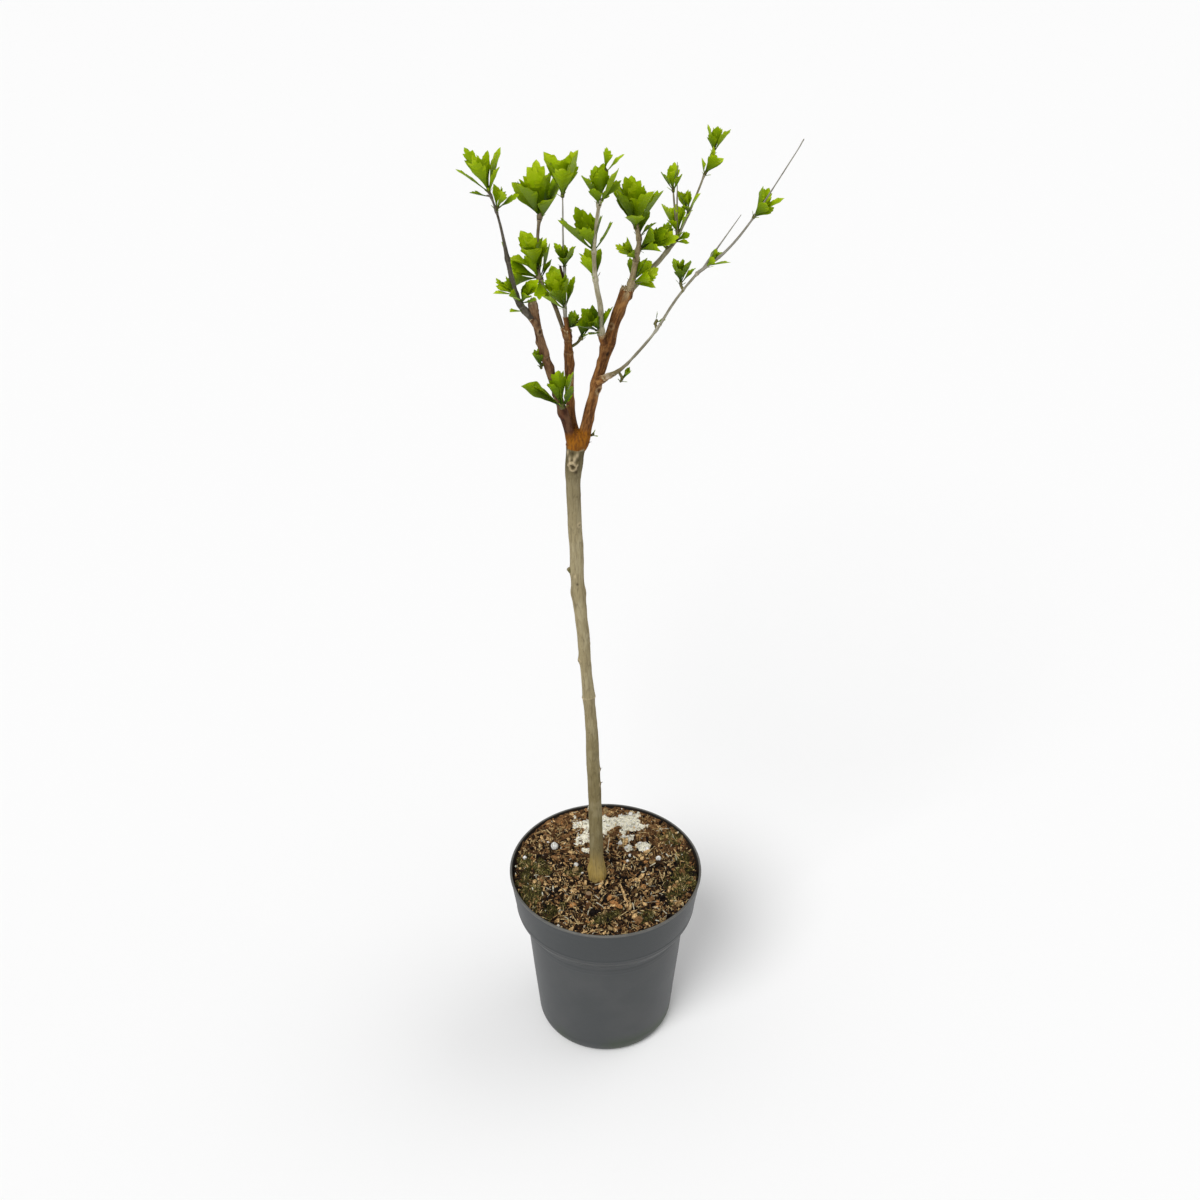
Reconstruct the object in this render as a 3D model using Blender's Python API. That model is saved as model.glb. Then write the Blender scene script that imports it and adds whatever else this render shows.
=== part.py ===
"""Potted rose of sharon standard, breaking into leaf, in its grey nursery pot.

Metres, +Z up. The origin is the centre of the pot's flat underside. The plant's
front faces -Y, and +X is to the right of someone who looks at the front.

The trunk, each bough and each leafy shoot is one solid. A shoot is one stem with
short twigs, and each twig ends in a whorl of leaves laid out by a seeded rule.
"""

import math
from collections import namedtuple

import bpy
import numpy as np
from mathutils import Vector
from mathutils.bvhtree import BVHTree

GAP = 0.0003  # between solids that meet
SHARP_ANGLE = math.radians(35)  # faces that meet at a flatter angle are shaded smooth
CURVE_STEPS = 12  # straight pieces that a smooth path has between two given points

# Pot: a turned wall with a rounded foot, a tapered body, a shoulder and a collar
POT_SIDES = 40
POT_HEIGHT = 0.196
POT_WALL = 0.0016
POT_FLOOR = 0.0022
BASE_RADIUS = 0.0600
FOOT_RADIUS, FOOT_HEIGHT = 0.0690, 0.016
BODY_RADIUS, BODY_HEIGHT = 0.0793, 0.134
COLLAR_RADIUS, COLLAR_HEIGHT = 0.0889, 0.152
NECK_RADIUS, NECK_HEIGHT = 0.0946, 0.1925
RIM_RADIUS, RIM_INNER_RADIUS = 0.0953, 0.0928
RIM_STEP = 0.0012  # from the neck up to the rim's full radius
RIM_ROUNDING = 0.0006
ARC_STEPS = 4  # straight pieces in the foot's and the shoulder's curve
POT_COLOUR = (0.075, 0.080, 0.085)

# Potting mix: fills the pot to a little under the rim, with an uneven top
MIX_LEVEL = 0.1875
MIX_RINGS = (0.080, 0.064, 0.048, 0.033)
MIX_UNEVEN = 0.0012
MIX_SEED = 11
MIX_COLOUR = (0.050, 0.030, 0.018)

# Limbs: points from foot to tip, radius at foot and tip, and swellings as
# (share of the length, extra radius, half-width as a share)
Limb = namedtuple("Limb", "points foot tip swellings sides rings colour")

TRUNK = Limb(
    points=(
        (-0.008, -0.008, MIX_LEVEL + GAP),
        (-0.009, -0.006, 0.224),
        (-0.011, 0.000, 0.297),
        (-0.014, 0.004, 0.380),
        (-0.017, 0.003, 0.421),
        (-0.021, -0.001, 0.486),
        (-0.025, 0.000, 0.530),
        (-0.026, 0.001, 0.571),
        (-0.028, 0.001, 0.625),
        (-0.027, 0.001, 0.660),
        (-0.025, 0.002, 0.679),
    ),
    foot=0.0066,
    tip=0.0062,
    swellings=(
        (0.01, 0.0022, 0.035),
        (0.50, -0.0010, 0.20),
        (0.69, 0.0011, 0.012),
        (0.955, 0.0008, 0.015),
        (1.00, 0.0026, 0.035),
    ),
    sides=10,
    rings=36,
    colour=(0.30, 0.27, 0.20),
)

# The rounded end of the trunk: angles of its rings, and how flat the dome is
DOME_ANGLES = np.radians((26, 49, 69))
DOME_FLATNESS = 0.8

BOUGHS = {
    "left_bough": Limb(
        points=(
            (-0.029, 0.000, 0.680),
            (-0.036, -0.008, 0.712),
            (-0.046, -0.016, 0.753),
            (-0.053, -0.023, 0.786),
            (-0.058, -0.029, 0.818),
        ),
        foot=0.0040,
        tip=0.0031,
        swellings=((0.66, 0.0005, 0.03), (0.97, 0.0005, 0.05)),
        sides=10,
        rings=14,
        colour=(0.16, 0.09, 0.05),
    ),
    "middle_bough": Limb(
        points=(
            (-0.026, 0.006, 0.679),
            (-0.030, 0.014, 0.702),
            (-0.031, 0.022, 0.735),
            (-0.032, 0.029, 0.765),
        ),
        foot=0.0040,
        tip=0.0034,
        swellings=((0.80, 0.0006, 0.05),),
        sides=10,
        rings=10,
        colour=(0.20, 0.09, 0.045),
    ),
    "right_bough": Limb(
        points=(
            (-0.020, 0.002, 0.679),
            (-0.014, 0.005, 0.705),
            (-0.008, 0.007, 0.731),
            (0.000, 0.010, 0.759),
            (0.007, 0.013, 0.784),
            (0.016, 0.016, 0.808),
        ),
        foot=0.0048,
        tip=0.0045,
        swellings=((0.38, 0.0006, 0.04), (0.66, 0.0006, 0.05), (1.0, 0.0006, 0.06)),
        sides=12,
        rings=16,
        colour=(0.24, 0.11, 0.045),
    ),
    "right_side_bough": Limb(
        points=(
            (-0.006, 0.004, 0.734),
            (0.011, -0.006, 0.749),
            (0.026, -0.016, 0.771),
            (0.039, -0.026, 0.794),
            (0.050, -0.036, 0.819),
            (0.059, -0.044, 0.837),
            (0.069, -0.053, 0.855),
        ),
        foot=0.0026,
        tip=0.0015,
        swellings=((0.07, 0.0009, 0.05), (0.52, 0.0005, 0.02), (0.98, 0.0006, 0.02)),
        sides=8,
        rings=16,
        colour=(0.25, 0.22, 0.16),
    ),
}

# Shoots: the limb that carries the stem, points from foot to tip, radius at foot
# and tip, and the sprays. A spray is a twig at a share of the stem, that leaves
# on a bearing in degrees (0 is +X, 90 is +Y), leans from upright by some degrees,
# is so long, and ends in so many leaves of that length. With no leaves it is bare.
Spray = namedtuple("Spray", "share bearing lean twig leaf leaves")
Shoot = namedtuple("Shoot", "limb seed points foot tip sprays")

SHOOTS = {
    "left_shoot": Shoot(
        limb="left_bough",
        seed=21,
        points=(
            (-0.056, -0.027, 0.801),
            (-0.068, -0.033, 0.820),
            (-0.073, -0.038, 0.843),
            (-0.080, -0.050, 0.893),
            (-0.087, -0.058, 0.922),
        ),
        foot=0.0029,
        tip=0.0012,
        sprays=(
            Spray(1.00, 150, 16, 0.000, 0.032, 8),
            Spray(0.94, 185, 78, 0.003, 0.015, 1),
            Spray(0.84, 330, 28, 0.004, 0.021, 3),
            Spray(0.50, 190, 14, 0.003, 0.012, 1),
            Spray(0.24, 195, 54, 0.003, 0.020, 4),
            Spray(0.17, 310, 30, 0.004, 0.025, 5),
            Spray(0.11, 230, 72, 0.003, 0.015, 1),
        ),
    ),
    "centre_shoot": Shoot(
        limb="middle_bough",
        seed=40,
        points=(
            (-0.0340, 0.0300, 0.762),
            (-0.044, 0.039, 0.788),
            (-0.052, 0.046, 0.797),
            (-0.057, 0.054, 0.813),
            (-0.056, 0.064, 0.837),
            (-0.054, 0.070, 0.851),
        ),
        foot=0.0019,
        tip=0.0014,
        sprays=(
            Spray(1.00, 210, 8, 0.000, 0.044, 8),
            Spray(0.98, 125, 56, 0.002, 0.029, 2),
            Spray(0.97, 355, 20, 0.014, 0.011, 2),
            Spray(0.56, 200, 12, 0.004, 0.033, 6),
            Spray(0.50, 175, 72, 0.004, 0.032, 4),
            Spray(0.50, 270, 103, 0.004, 0.027, 1),
            Spray(0.48, 110, 31, 0.004, 0.028, 5),
        ),
    ),
    "centre_twig": Shoot(
        limb="middle_bough",
        seed=32,
        points=(
            (-0.0305, 0.0270, 0.762),
            (-0.034, 0.031, 0.780),
            (-0.034, 0.036, 0.815),
            (-0.035, 0.038, 0.836),
            (-0.035, 0.042, 0.880),
        ),
        foot=0.0018,
        tip=0.0008,
        sprays=(
            Spray(1.00, 60, 0, 0.000, 0.036, 5),
            Spray(0.49, 350, 0, 0.003, 0.021, 7),
            Spray(0.38, 190, 14, 0.015, 0.000, 0),
            Spray(0.20, 170, 16, 0.003, 0.033, 7),
            Spray(0.06, 10, 36, 0.003, 0.017, 6),
        ),
    ),
    "pale_shoot": Shoot(
        limb="right_bough",
        seed=51,
        points=(
            (-0.001, 0.009, 0.763),
            (-0.0045, 0.004, 0.775),
            (-0.005, -0.001, 0.801),
            (-0.009, -0.010, 0.829),
            (-0.010, -0.020, 0.858),
            (-0.006, -0.036, 0.904),
        ),
        foot=0.0026,
        tip=0.0016,
        sprays=(
            Spray(1.00, 180, 0, 0.000, 0.030, 7),
            Spray(0.98, 25, 12, 0.026, 0.022, 2),
            Spray(0.97, 50, 54, 0.006, 0.022, 2),
            Spray(0.66, 210, 16, 0.004, 0.037, 3),
            Spray(0.47, 155, 16, 0.003, 0.028, 3),
            Spray(0.11, 225, 34, 0.003, 0.025, 7),
            Spray(0.12, 70, 30, 0.003, 0.020, 2),
        ),
    ),
    "right_centre_shoot": Shoot(
        limb="right_bough",
        seed=46,
        points=(
            (0.0175, 0.0140, 0.804),
            (0.023, 0.010, 0.838),
            (0.025, 0.006, 0.855),
            (0.022, 0.002, 0.870),
        ),
        foot=0.0024,
        tip=0.0020,
        sprays=(
            Spray(1.00, 110, 0, 0.000, 0.040, 10),
            Spray(0.80, 70, 32, 0.004, 0.024, 3),
            Spray(0.62, 350, 54, 0.005, 0.033, 4),
            Spray(0.50, 200, 39, 0.004, 0.021, 4),
            Spray(0.18, 350, 66, 0.004, 0.023, 4),
            Spray(0.16, 20, 24, 0.004, 0.025, 3),
        ),
    ),
    "right_long_shoot": Shoot(
        limb="right_bough",
        seed=20,
        points=(
            (0.0160, 0.0190, 0.804),
            (0.034, 0.034, 0.817),
            (0.045, 0.046, 0.824),
            (0.058, 0.060, 0.837),
            (0.072, 0.076, 0.863),
            (0.082, 0.090, 0.884),
            (0.087, 0.097, 0.895),
        ),
        foot=0.0026,
        tip=0.0010,
        sprays=(
            Spray(1.00, 60, 18, 0.000, 0.024, 7),
            Spray(0.85, 10, 30, 0.003, 0.021, 5),
            Spray(0.61, 240, 11, 0.004, 0.021, 5),
            Spray(0.48, 130, 8, 0.004, 0.025, 6),
            Spray(0.36, 120, 14, 0.004, 0.024, 4),
            Spray(0.42, 0, 56, 0.004, 0.015, 2),
            Spray(0.46, 160, 6, 0.042, 0.021, 5),
            Spray(0.46, 120, 2, 0.062, 0.000, 0),
        ),
    ),
    "right_tips": Shoot(
        limb="right_side_bough",
        seed=23,
        points=(
            (0.068, -0.052, 0.853),
            (0.088, -0.062, 0.875),
            (0.106, -0.072, 0.905),
            (0.130, -0.088, 0.956),
            (0.136, -0.092, 0.970),
        ),
        foot=0.0012,
        tip=0.0006,
        sprays=(
            Spray(0.07, 0, 44, 0.003, 0.018, 5),
            Spray(0.03, 345, 31, 0.054, 0.000, 0),
            Spray(0.48, 10, 36, 0.003, 0.023, 6),
        ),
    ),
    "low_left_spur": Shoot(
        limb="left_bough",
        seed=64,
        points=((-0.038, -0.009, 0.716), (-0.037, -0.015, 0.719), (-0.036, -0.018, 0.724)),
        foot=0.0016,
        tip=0.0013,
        sprays=(
            Spray(1.00, 130, 20, 0.000, 0.033, 5),
            Spray(0.85, 178, 66, 0.002, 0.036, 1),
            Spray(0.80, 310, 28, 0.002, 0.017, 2),
        ),
    ),
    "left_spur": Shoot(
        limb="left_bough",
        seed=23,
        points=((-0.048, -0.018, 0.762), (-0.051, -0.019, 0.760), (-0.053, -0.020, 0.761)),
        foot=0.0014,
        tip=0.0011,
        sprays=(Spray(1.00, 170, 8, 0.000, 0.018, 5),),
    ),
    "side_spur_low": Shoot(
        limb="right_side_bough",
        seed=39,
        points=((0.009, -0.005, 0.748), (0.011, -0.005, 0.744), (0.013, -0.006, 0.741)),
        foot=0.0012,
        tip=0.0010,
        sprays=(Spray(1.00, 340, 32, 0.000, 0.014, 3),),
    ),
    "side_spur_middle": Shoot(
        limb="right_side_bough",
        seed=85,
        points=((0.039, -0.026, 0.794), (0.038, -0.024, 0.798), (0.039, -0.024, 0.801)),
        foot=0.0011,
        tip=0.0009,
        sprays=(Spray(1.00, 350, 28, 0.000, 0.010, 2),),
    ),
    "side_spur_high": Shoot(
        limb="right_side_bough",
        seed=15,
        points=((0.058, -0.043, 0.835), (0.056, -0.042, 0.839), (0.056, -0.042, 0.843)),
        foot=0.0012,
        tip=0.0010,
        sprays=(Spray(1.00, 110, 4, 0.000, 0.020, 6),),
    ),
    "fork_spur": Shoot(
        limb="right_bough",
        seed=29,
        points=((-0.018, 0.003, 0.684), (-0.013, 0.002, 0.684), (-0.011, 0.001, 0.686)),
        foot=0.0011,
        tip=0.0009,
        sprays=(Spray(1.00, 330, 46, 0.000, 0.008, 2),),
    ),
    "middle_spur": Shoot(
        limb="middle_bough",
        seed=10,
        points=((-0.031, 0.027, 0.752), (-0.024, 0.025, 0.758), (-0.020, 0.024, 0.765)),
        foot=0.0013,
        tip=0.0010,
        sprays=(
            Spray(1.00, 40, 15, 0.000, 0.022, 5),
            Spray(0.85, 310, 54, 0.002, 0.011, 1),
        ),
    ),
}

# Leaf: a narrow root, and a three-lobed blade with a keel in shares of its length
LEAF_ROOT_HALF, LEAF_ROOT_KEEL = 0.0006, 0.0007
LEAF_LOBE_AT, LEAF_LOBE_HALF, LEAF_LOBE_RISE = 0.62, 0.27, 0.06
LEAF_NOTCH_AT, LEAF_NOTCH_HALF, LEAF_NOTCH_RISE = 0.78, 0.18, 0.02
LEAF_KEEL_AT, LEAF_KEEL_DEPTH = 0.56, 0.030
LEAF_TIP_DROP = 0.07
LEAF_FREE_FROM = 0.34  # from here out a leaf crosses no other leaf
LEAF_COLOUR = (0.16, 0.34, 0.03)

# Whorl: leaves turn by the golden angle, the inner ones upright, the outer spread
GOLDEN_TURN = math.radians(137.5)
TURN_JITTER = math.radians(18)
INNER_TILT, OUTER_TILT = math.radians(13), math.radians(48)
TILT_JITTER = math.radians(5)
LENGTH_JITTER = 0.12
SHORTER_AT_ENDS = 0.25  # by this share the innermost and the outermost leaves are shorter
WHORL_DEPTH = 0.0030  # outer leaves leave the twig this far below the inner ones
ROOT_OFFSET = 0.0004  # from the twig's middle to a leaf's root
TWIG_SIDES, STEM_SIDES = 3, 6
TWIG_RADIUS, TWIG_TIP_RADIUS = 0.0011, 0.0008
BARE_TIP_RADIUS = 0.0005
REACH, REACH_POINTS = 0.070, 40  # no leaf goes further than this from its stem
# Turn and tilt steps tried, in this order, before a leaf is skipped
SIDE_STEPS = (
    (0.0, 0.0),
    (0.35, 0.0),
    (-0.35, 0.0),
    (0.7, 0.1),
    (-0.7, 0.1),
    (1.1, 0.2),
    (-1.1, 0.2),
    (1.6, 0.3),
    (-1.6, 0.3),
)


def clear_scene():
    for obj in list(bpy.data.objects):
        bpy.data.objects.remove(obj, do_unlink=True)


def material(name, colour, roughness, metallic=0.0):
    made = bpy.data.materials.new(name)
    made.use_nodes = True
    shader = made.node_tree.nodes["Principled BSDF"]
    shader.inputs["Base Color"].default_value = (*colour, 1.0)
    shader.inputs["Roughness"].default_value = roughness
    shader.inputs["Metallic"].default_value = metallic
    return made


def add_object(name, vertices, faces, finish, collection=None):
    mesh = bpy.data.meshes.new(name)
    mesh.from_pydata([tuple(map(float, vertex)) for vertex in vertices], [], faces)
    mesh.update()
    mesh.materials.append(finish)
    obj = bpy.data.objects.new(name, mesh)
    (collection or bpy.context.scene.collection).objects.link(obj)
    return obj


# Helper directions that no limb and no twig follows, to start a cross product from
BACKWARDS = np.array([0.0, 1.0, 0.3])
ASIDE = np.array([0.31, 0.95, 0.05])


def unit(vector):
    return vector / np.linalg.norm(vector)


def smooth_path(points, count):
    """Points at even steps along a Catmull-Rom curve through the given points."""
    given = np.asarray(points, float)
    given = np.vstack([2 * given[0] - given[1], given, 2 * given[-1] - given[-2]])
    spans = len(given) - 3
    fine = []
    for step in np.linspace(0, spans, spans * CURVE_STEPS + 1):
        index = min(int(step), spans - 1)
        t = step - index
        a, b, c, d = given[index : index + 4]
        curve = 2 * b + (c - a) * t + (2 * a - 5 * b + 4 * c - d) * t**2 + (3 * b - a - 3 * c + d) * t**3
        fine.append(0.5 * curve)
    fine = np.array(fine)
    lengths = np.r_[0, np.cumsum(np.linalg.norm(np.diff(fine, axis=0), axis=1))]
    wanted = np.linspace(0, lengths[-1], count)
    return np.column_stack([np.interp(wanted, lengths, fine[:, axis]) for axis in range(3)])


def point_at(path, share):
    """The point and the direction at a share of an evenly stepped path."""
    place = share * (len(path) - 1)
    index = min(int(place), len(path) - 2)
    step = path[index + 1] - path[index]
    return path[index] + step * (place - index), unit(step)


def tube(path, radii, sides):
    """Vertices and faces of a closed round bar along the path, with flat ends."""
    steps = np.gradient(path, axis=0)
    side = unit(np.cross(steps[0], BACKWARDS))
    vertices = []
    for centre, step, radius in zip(path, steps, radii):
        along = unit(step)
        side = unit(side - along * side.dot(along))
        other = np.cross(along, side)
        for turn in np.arange(sides) * (2 * math.pi / sides):
            vertices.append(centre + radius * (math.cos(turn) * side + math.sin(turn) * other))
    faces = [tuple(range(sides - 1, -1, -1))]
    for ring in range(len(path) - 1):
        low, high = ring * sides, (ring + 1) * sides
        for k in range(sides):
            nxt = (k + 1) % sides
            faces.append((low + k, low + nxt, high + nxt, high + k))
    last = (len(path) - 1) * sides
    faces.append(tuple(range(last, last + sides)))
    return vertices, faces


def limb_path(limb, grown=0.0):
    """Centre points and radii of a limb; a grown one is larger all round, for a cutter."""
    path = smooth_path(limb.points, limb.rings)
    share = np.linspace(0, 1, limb.rings)
    radii = limb.foot + (limb.tip - limb.foot) * share
    for at, extra, width in limb.swellings:
        radii = radii + extra * np.exp(-(((share - at) / width) ** 2))
    path[0] -= grown * unit(path[1] - path[0])
    path[-1] += grown * unit(path[-1] - path[-2])
    return path, radii + grown / math.cos(math.pi / limb.sides)


def domed(path, radii):
    """The same limb with a rounded end: rings that close over half a ball."""
    end, along, radius = path[-1], unit(path[-1] - path[-2]), radii[-1]
    for angle in DOME_ANGLES:
        path = np.vstack([path, end + along * radius * DOME_FLATNESS * math.sin(angle)])
        radii = np.append(radii, radius * math.cos(angle))
    return path, radii


def turned(profile, sides):
    """Vertices and faces of a closed turned body; its profile starts and ends on the axis."""
    vertices = [(0.0, 0.0, profile[0][1])]
    for radius, height in profile[1:-1]:
        for turn in np.arange(sides) * (2 * math.pi / sides):
            vertices.append((radius * math.cos(turn), radius * math.sin(turn), height))
    vertices.append((0.0, 0.0, profile[-1][1]))
    rings = len(profile) - 2
    faces = []
    for k in range(sides):
        nxt = (k + 1) % sides
        faces.append((0, 1 + nxt, 1 + k))
        for ring in range(rings - 1):
            low, high = 1 + ring * sides, 1 + (ring + 1) * sides
            faces.append((low + k, low + nxt, high + nxt, high + k))
        top = 1 + (rings - 1) * sides
        faces.append((top + k, top + nxt, len(vertices) - 1))
    return vertices, faces


def pot_outline(inset=0.0):
    """Radius and height up the outside of the pot, from its foot to its neck."""
    outline = []
    for angle in np.linspace(0, math.pi / 2, ARC_STEPS + 1):
        reach = (FOOT_RADIUS - BASE_RADIUS) * math.sin(angle)
        outline.append((BASE_RADIUS + reach, FOOT_HEIGHT * (1 - math.cos(angle))))
    outline.append((BODY_RADIUS, BODY_HEIGHT))
    for share in np.linspace(0, 1, ARC_STEPS + 1)[1:]:
        blend = share * share * (3 - 2 * share)
        radius = BODY_RADIUS + (COLLAR_RADIUS - BODY_RADIUS) * blend
        outline.append((radius, BODY_HEIGHT + (COLLAR_HEIGHT - BODY_HEIGHT) * share))
    outline.append((NECK_RADIUS, NECK_HEIGHT))
    return [(radius - inset, height) for radius, height in outline]


def pot_radius(height, inset):
    """The pot's outer radius at a height, less the inset."""
    outline = pot_outline(inset)
    return float(np.interp(height, [z for _, z in outline], [r for r, _ in outline]))


def make_pot(finish):
    """The pot: one closed wall turned round its axis, with a thicker rolled rim."""
    outer = pot_outline()
    rim = [
        (RIM_RADIUS, NECK_HEIGHT + RIM_STEP),
        (RIM_RADIUS, POT_HEIGHT - RIM_ROUNDING),
        (RIM_RADIUS - RIM_ROUNDING, POT_HEIGHT),
        (RIM_INNER_RADIUS + RIM_ROUNDING, POT_HEIGHT),
        (RIM_INNER_RADIUS, POT_HEIGHT - RIM_ROUNDING),
    ]
    inner = [(r, z) for r, z in reversed(pot_outline(POT_WALL)) if z > POT_FLOOR]
    floor = [(pot_radius(POT_FLOOR, POT_WALL), POT_FLOOR), (0.0, POT_FLOOR)]
    profile = [(0.0, 0.0), *outer, *rim, *inner, *floor]
    return add_object("pot", *turned(profile, POT_SIDES), finish)


def make_mix(finish):
    """The body of potting mix, a gap inside the pot, with seeded bumps on its top."""
    inset = POT_WALL + GAP
    bottom = POT_FLOOR + GAP
    rings = [(pot_radius(bottom, inset), bottom)]
    rings += [(r, z) for r, z in pot_outline(inset) if bottom < z < MIX_LEVEL]
    rings.append((pot_radius(MIX_LEVEL, inset), MIX_LEVEL))
    profile = [(0.0, bottom), *rings, *((r, MIX_LEVEL) for r in MIX_RINGS), (0.0, MIX_LEVEL)]
    vertices, faces = turned(profile, POT_SIDES)
    rng = np.random.default_rng(MIX_SEED)
    first = 1 + len(rings) * POT_SIDES
    for index in range(first, first + (len(MIX_RINGS) - 1) * POT_SIDES):
        x, y, z = vertices[index]
        vertices[index] = (x, y, z + rng.uniform(-MIX_UNEVEN, MIX_UNEVEN))
    return add_object("potting_mix", vertices, faces, finish)


def apply_modifiers(obj):
    """Puts what the modifiers make into the object's own mesh."""
    graph = bpy.context.evaluated_depsgraph_get()
    mesh = bpy.data.meshes.new_from_object(obj.evaluated_get(graph))
    obj.modifiers.clear()
    obj.data = mesh


def cut(obj, limb, is_domed):
    """Takes a slightly larger copy of the limb out of the object."""
    path, radii = limb_path(limb, GAP)
    if is_domed:
        path, radii = domed(path, radii)
    cutter = add_object("cutter", *tube(path, radii, limb.sides), obj.data.materials[0])
    cutter.hide_render = True
    cutter.display_type = "WIRE"
    change = obj.modifiers.new("clear_of_limb", "BOOLEAN")
    change.operation = "DIFFERENCE"
    change.object = cutter
    apply_modifiers(obj)
    bpy.data.objects.remove(cutter, do_unlink=True)


def keep_body(obj):
    """Keeps the one outer body of the mesh: sealed hollows are filled, loose scraps dropped."""
    mesh = obj.data
    points = np.array([vertex.co for vertex in mesh.vertices])
    parent = list(range(len(points)))

    def root(index):
        while parent[index] != index:
            parent[index] = parent[parent[index]]
            index = parent[index]
        return index

    for face in mesh.polygons:
        first = root(face.vertices[0])
        for index in face.vertices[1:]:
            parent[root(index)] = first
    volumes = {}
    for face in mesh.polygons:
        ring = points[list(face.vertices)]
        for k in range(1, len(ring) - 1):
            part = np.dot(ring[0], np.cross(ring[k], ring[k + 1])) / 6
            volumes[root(face.vertices[0])] = volumes.get(root(face.vertices[0]), 0.0) + part
    body = max(volumes, key=volumes.get)
    faces = [tuple(face.vertices) for face in mesh.polygons if root(face.vertices[0]) == body]
    used = sorted({index for face in faces for index in face})
    place = {index: k for k, index in enumerate(used)}
    kept = bpy.data.meshes.new(obj.name)
    kept.from_pydata([tuple(points[k]) for k in used], [], [tuple(place[k] for k in f) for f in faces])
    kept.update()
    kept.materials.append(mesh.materials[0])
    obj.data = kept


def tree_of(obj):
    mesh = obj.data
    return BVHTree.FromPolygons(
        [vertex.co for vertex in mesh.vertices], [tuple(face.vertices) for face in mesh.polygons]
    )


def touches(vertices, faces, trees):
    """Whether the shape crosses one of the trees or comes nearer to it than the gap."""
    points = [Vector(vertex) for vertex in vertices]
    own = BVHTree.FromPolygons(points, faces)
    for tree in trees:
        if own.overlap(tree):
            return True
        if any(tree.find_nearest(point, GAP)[0] is not None for point in points):
            return True
    return False


def leaf_shape(root, along, face_up, length):
    """Vertices and faces of one leaf: 16 triangles round a midrib above and a keel below."""
    left = np.cross(face_up, along)

    def at(share, aside, rise):
        return root + length * (share * along + aside * left + rise * face_up)

    half, depth = LEAF_ROOT_HALF / length, LEAF_ROOT_KEEL / length
    vertices = [
        at(0, -half, 0),
        at(LEAF_LOBE_AT, -LEAF_LOBE_HALF, LEAF_LOBE_RISE),
        at(LEAF_NOTCH_AT, -LEAF_NOTCH_HALF, LEAF_NOTCH_RISE),
        at(1, 0, -LEAF_TIP_DROP),
        at(LEAF_NOTCH_AT, LEAF_NOTCH_HALF, LEAF_NOTCH_RISE),
        at(LEAF_LOBE_AT, LEAF_LOBE_HALF, LEAF_LOBE_RISE),
        at(0, half, 0),
        at(LEAF_KEEL_AT, 0, 0),
        at(LEAF_KEEL_AT, 0, -LEAF_KEEL_DEPTH),
        at(0, 0, -depth),
    ]
    midrib, keel, root_keel = 7, 8, 9
    faces = [(midrib, k, (k + 1) % 7) for k in range(7)]
    under = (0, root_keel, 6, 5, 4, 3, 2, 1)
    faces += [(keel, under[k], under[(k + 1) % 8]) for k in range(8)]
    faces.append((0, 6, root_keel))
    return vertices, faces


def free_blade(vertices):
    """The part of a leaf past its narrow root: three points there, then its outline and midrib."""
    root, tip = vertices[9], vertices[3]
    start = root + (tip - root) * LEAF_FREE_FROM
    flank = LEAF_FREE_FROM / LEAF_LOBE_AT
    right = vertices[0] + (vertices[1] - vertices[0]) * flank
    left = vertices[6] + (vertices[5] - vertices[6]) * flank
    points = [Vector(point) for point in (right, *vertices[1:6], left, vertices[7], vertices[8], start)]
    faces = [(7, k, k + 1) for k in range(6)] + [(8, k + 1, k) for k in range(6)]
    return BVHTree.FromPolygons(points, faces)


def bearing_vector(bearing, lean):
    """The direction that leans from upright towards a bearing, both in degrees."""
    turn, tilt = math.radians(bearing), math.radians(lean)
    level = math.sin(tilt)
    return np.array([level * math.cos(turn), level * math.sin(turn), math.cos(tilt)])


def across(axis):
    """Two directions at right angles to the axis and to each other."""
    side = unit(np.cross(axis, ASIDE))
    return side, np.cross(axis, side)


def whorl(foot, axis, leaf, count, rng):
    """Root, turn, tilt and length of each leaf of a whorl round an axis, the inner ones first."""
    start = rng.uniform(0, 2 * math.pi)
    found = []
    for k in range(count):
        outer = (k + 0.5) / count
        turn = start + k * GOLDEN_TURN + rng.uniform(-TURN_JITTER, TURN_JITTER)
        tilt = INNER_TILT + (OUTER_TILT - INNER_TILT) * outer + rng.uniform(-TILT_JITTER, TILT_JITTER)
        share = 1 - SHORTER_AT_ENDS * abs(2 * outer - 1) + rng.uniform(-LENGTH_JITTER, LENGTH_JITTER)
        if count == 1:
            turn, tilt = skyward_turn(axis), 0.0
        found.append((foot - axis * WHORL_DEPTH * outer, turn, tilt, leaf * share))
    return found


def skyward_turn(axis):
    """The turn at which the upper side of a lone leaf faces the sky."""
    side, other = across(axis)
    return math.atan2(-other[2], -side[2])


def place_leaf(root, axis, turn, tilt, length):
    """Vertices and faces of a leaf that leans out from the axis by its tilt."""
    side, other = across(axis)
    outward = math.cos(turn) * side + math.sin(turn) * other
    along = math.cos(tilt) * axis + math.sin(tilt) * outward
    face_up = math.sin(tilt) * axis - math.cos(tilt) * outward
    return leaf_shape(root + outward * ROOT_OFFSET, along, face_up, length)


def make_trunk(finish):
    """The trunk, cut flat at the level of the potting mix and domed under its fork."""
    vertices, faces = tube(*domed(*limb_path(TRUNK)), TRUNK.sides)
    for vertex in vertices[: TRUNK.sides]:
        vertex[2] = MIX_LEVEL + GAP
    return add_object("trunk", vertices, faces, finish)


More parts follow.
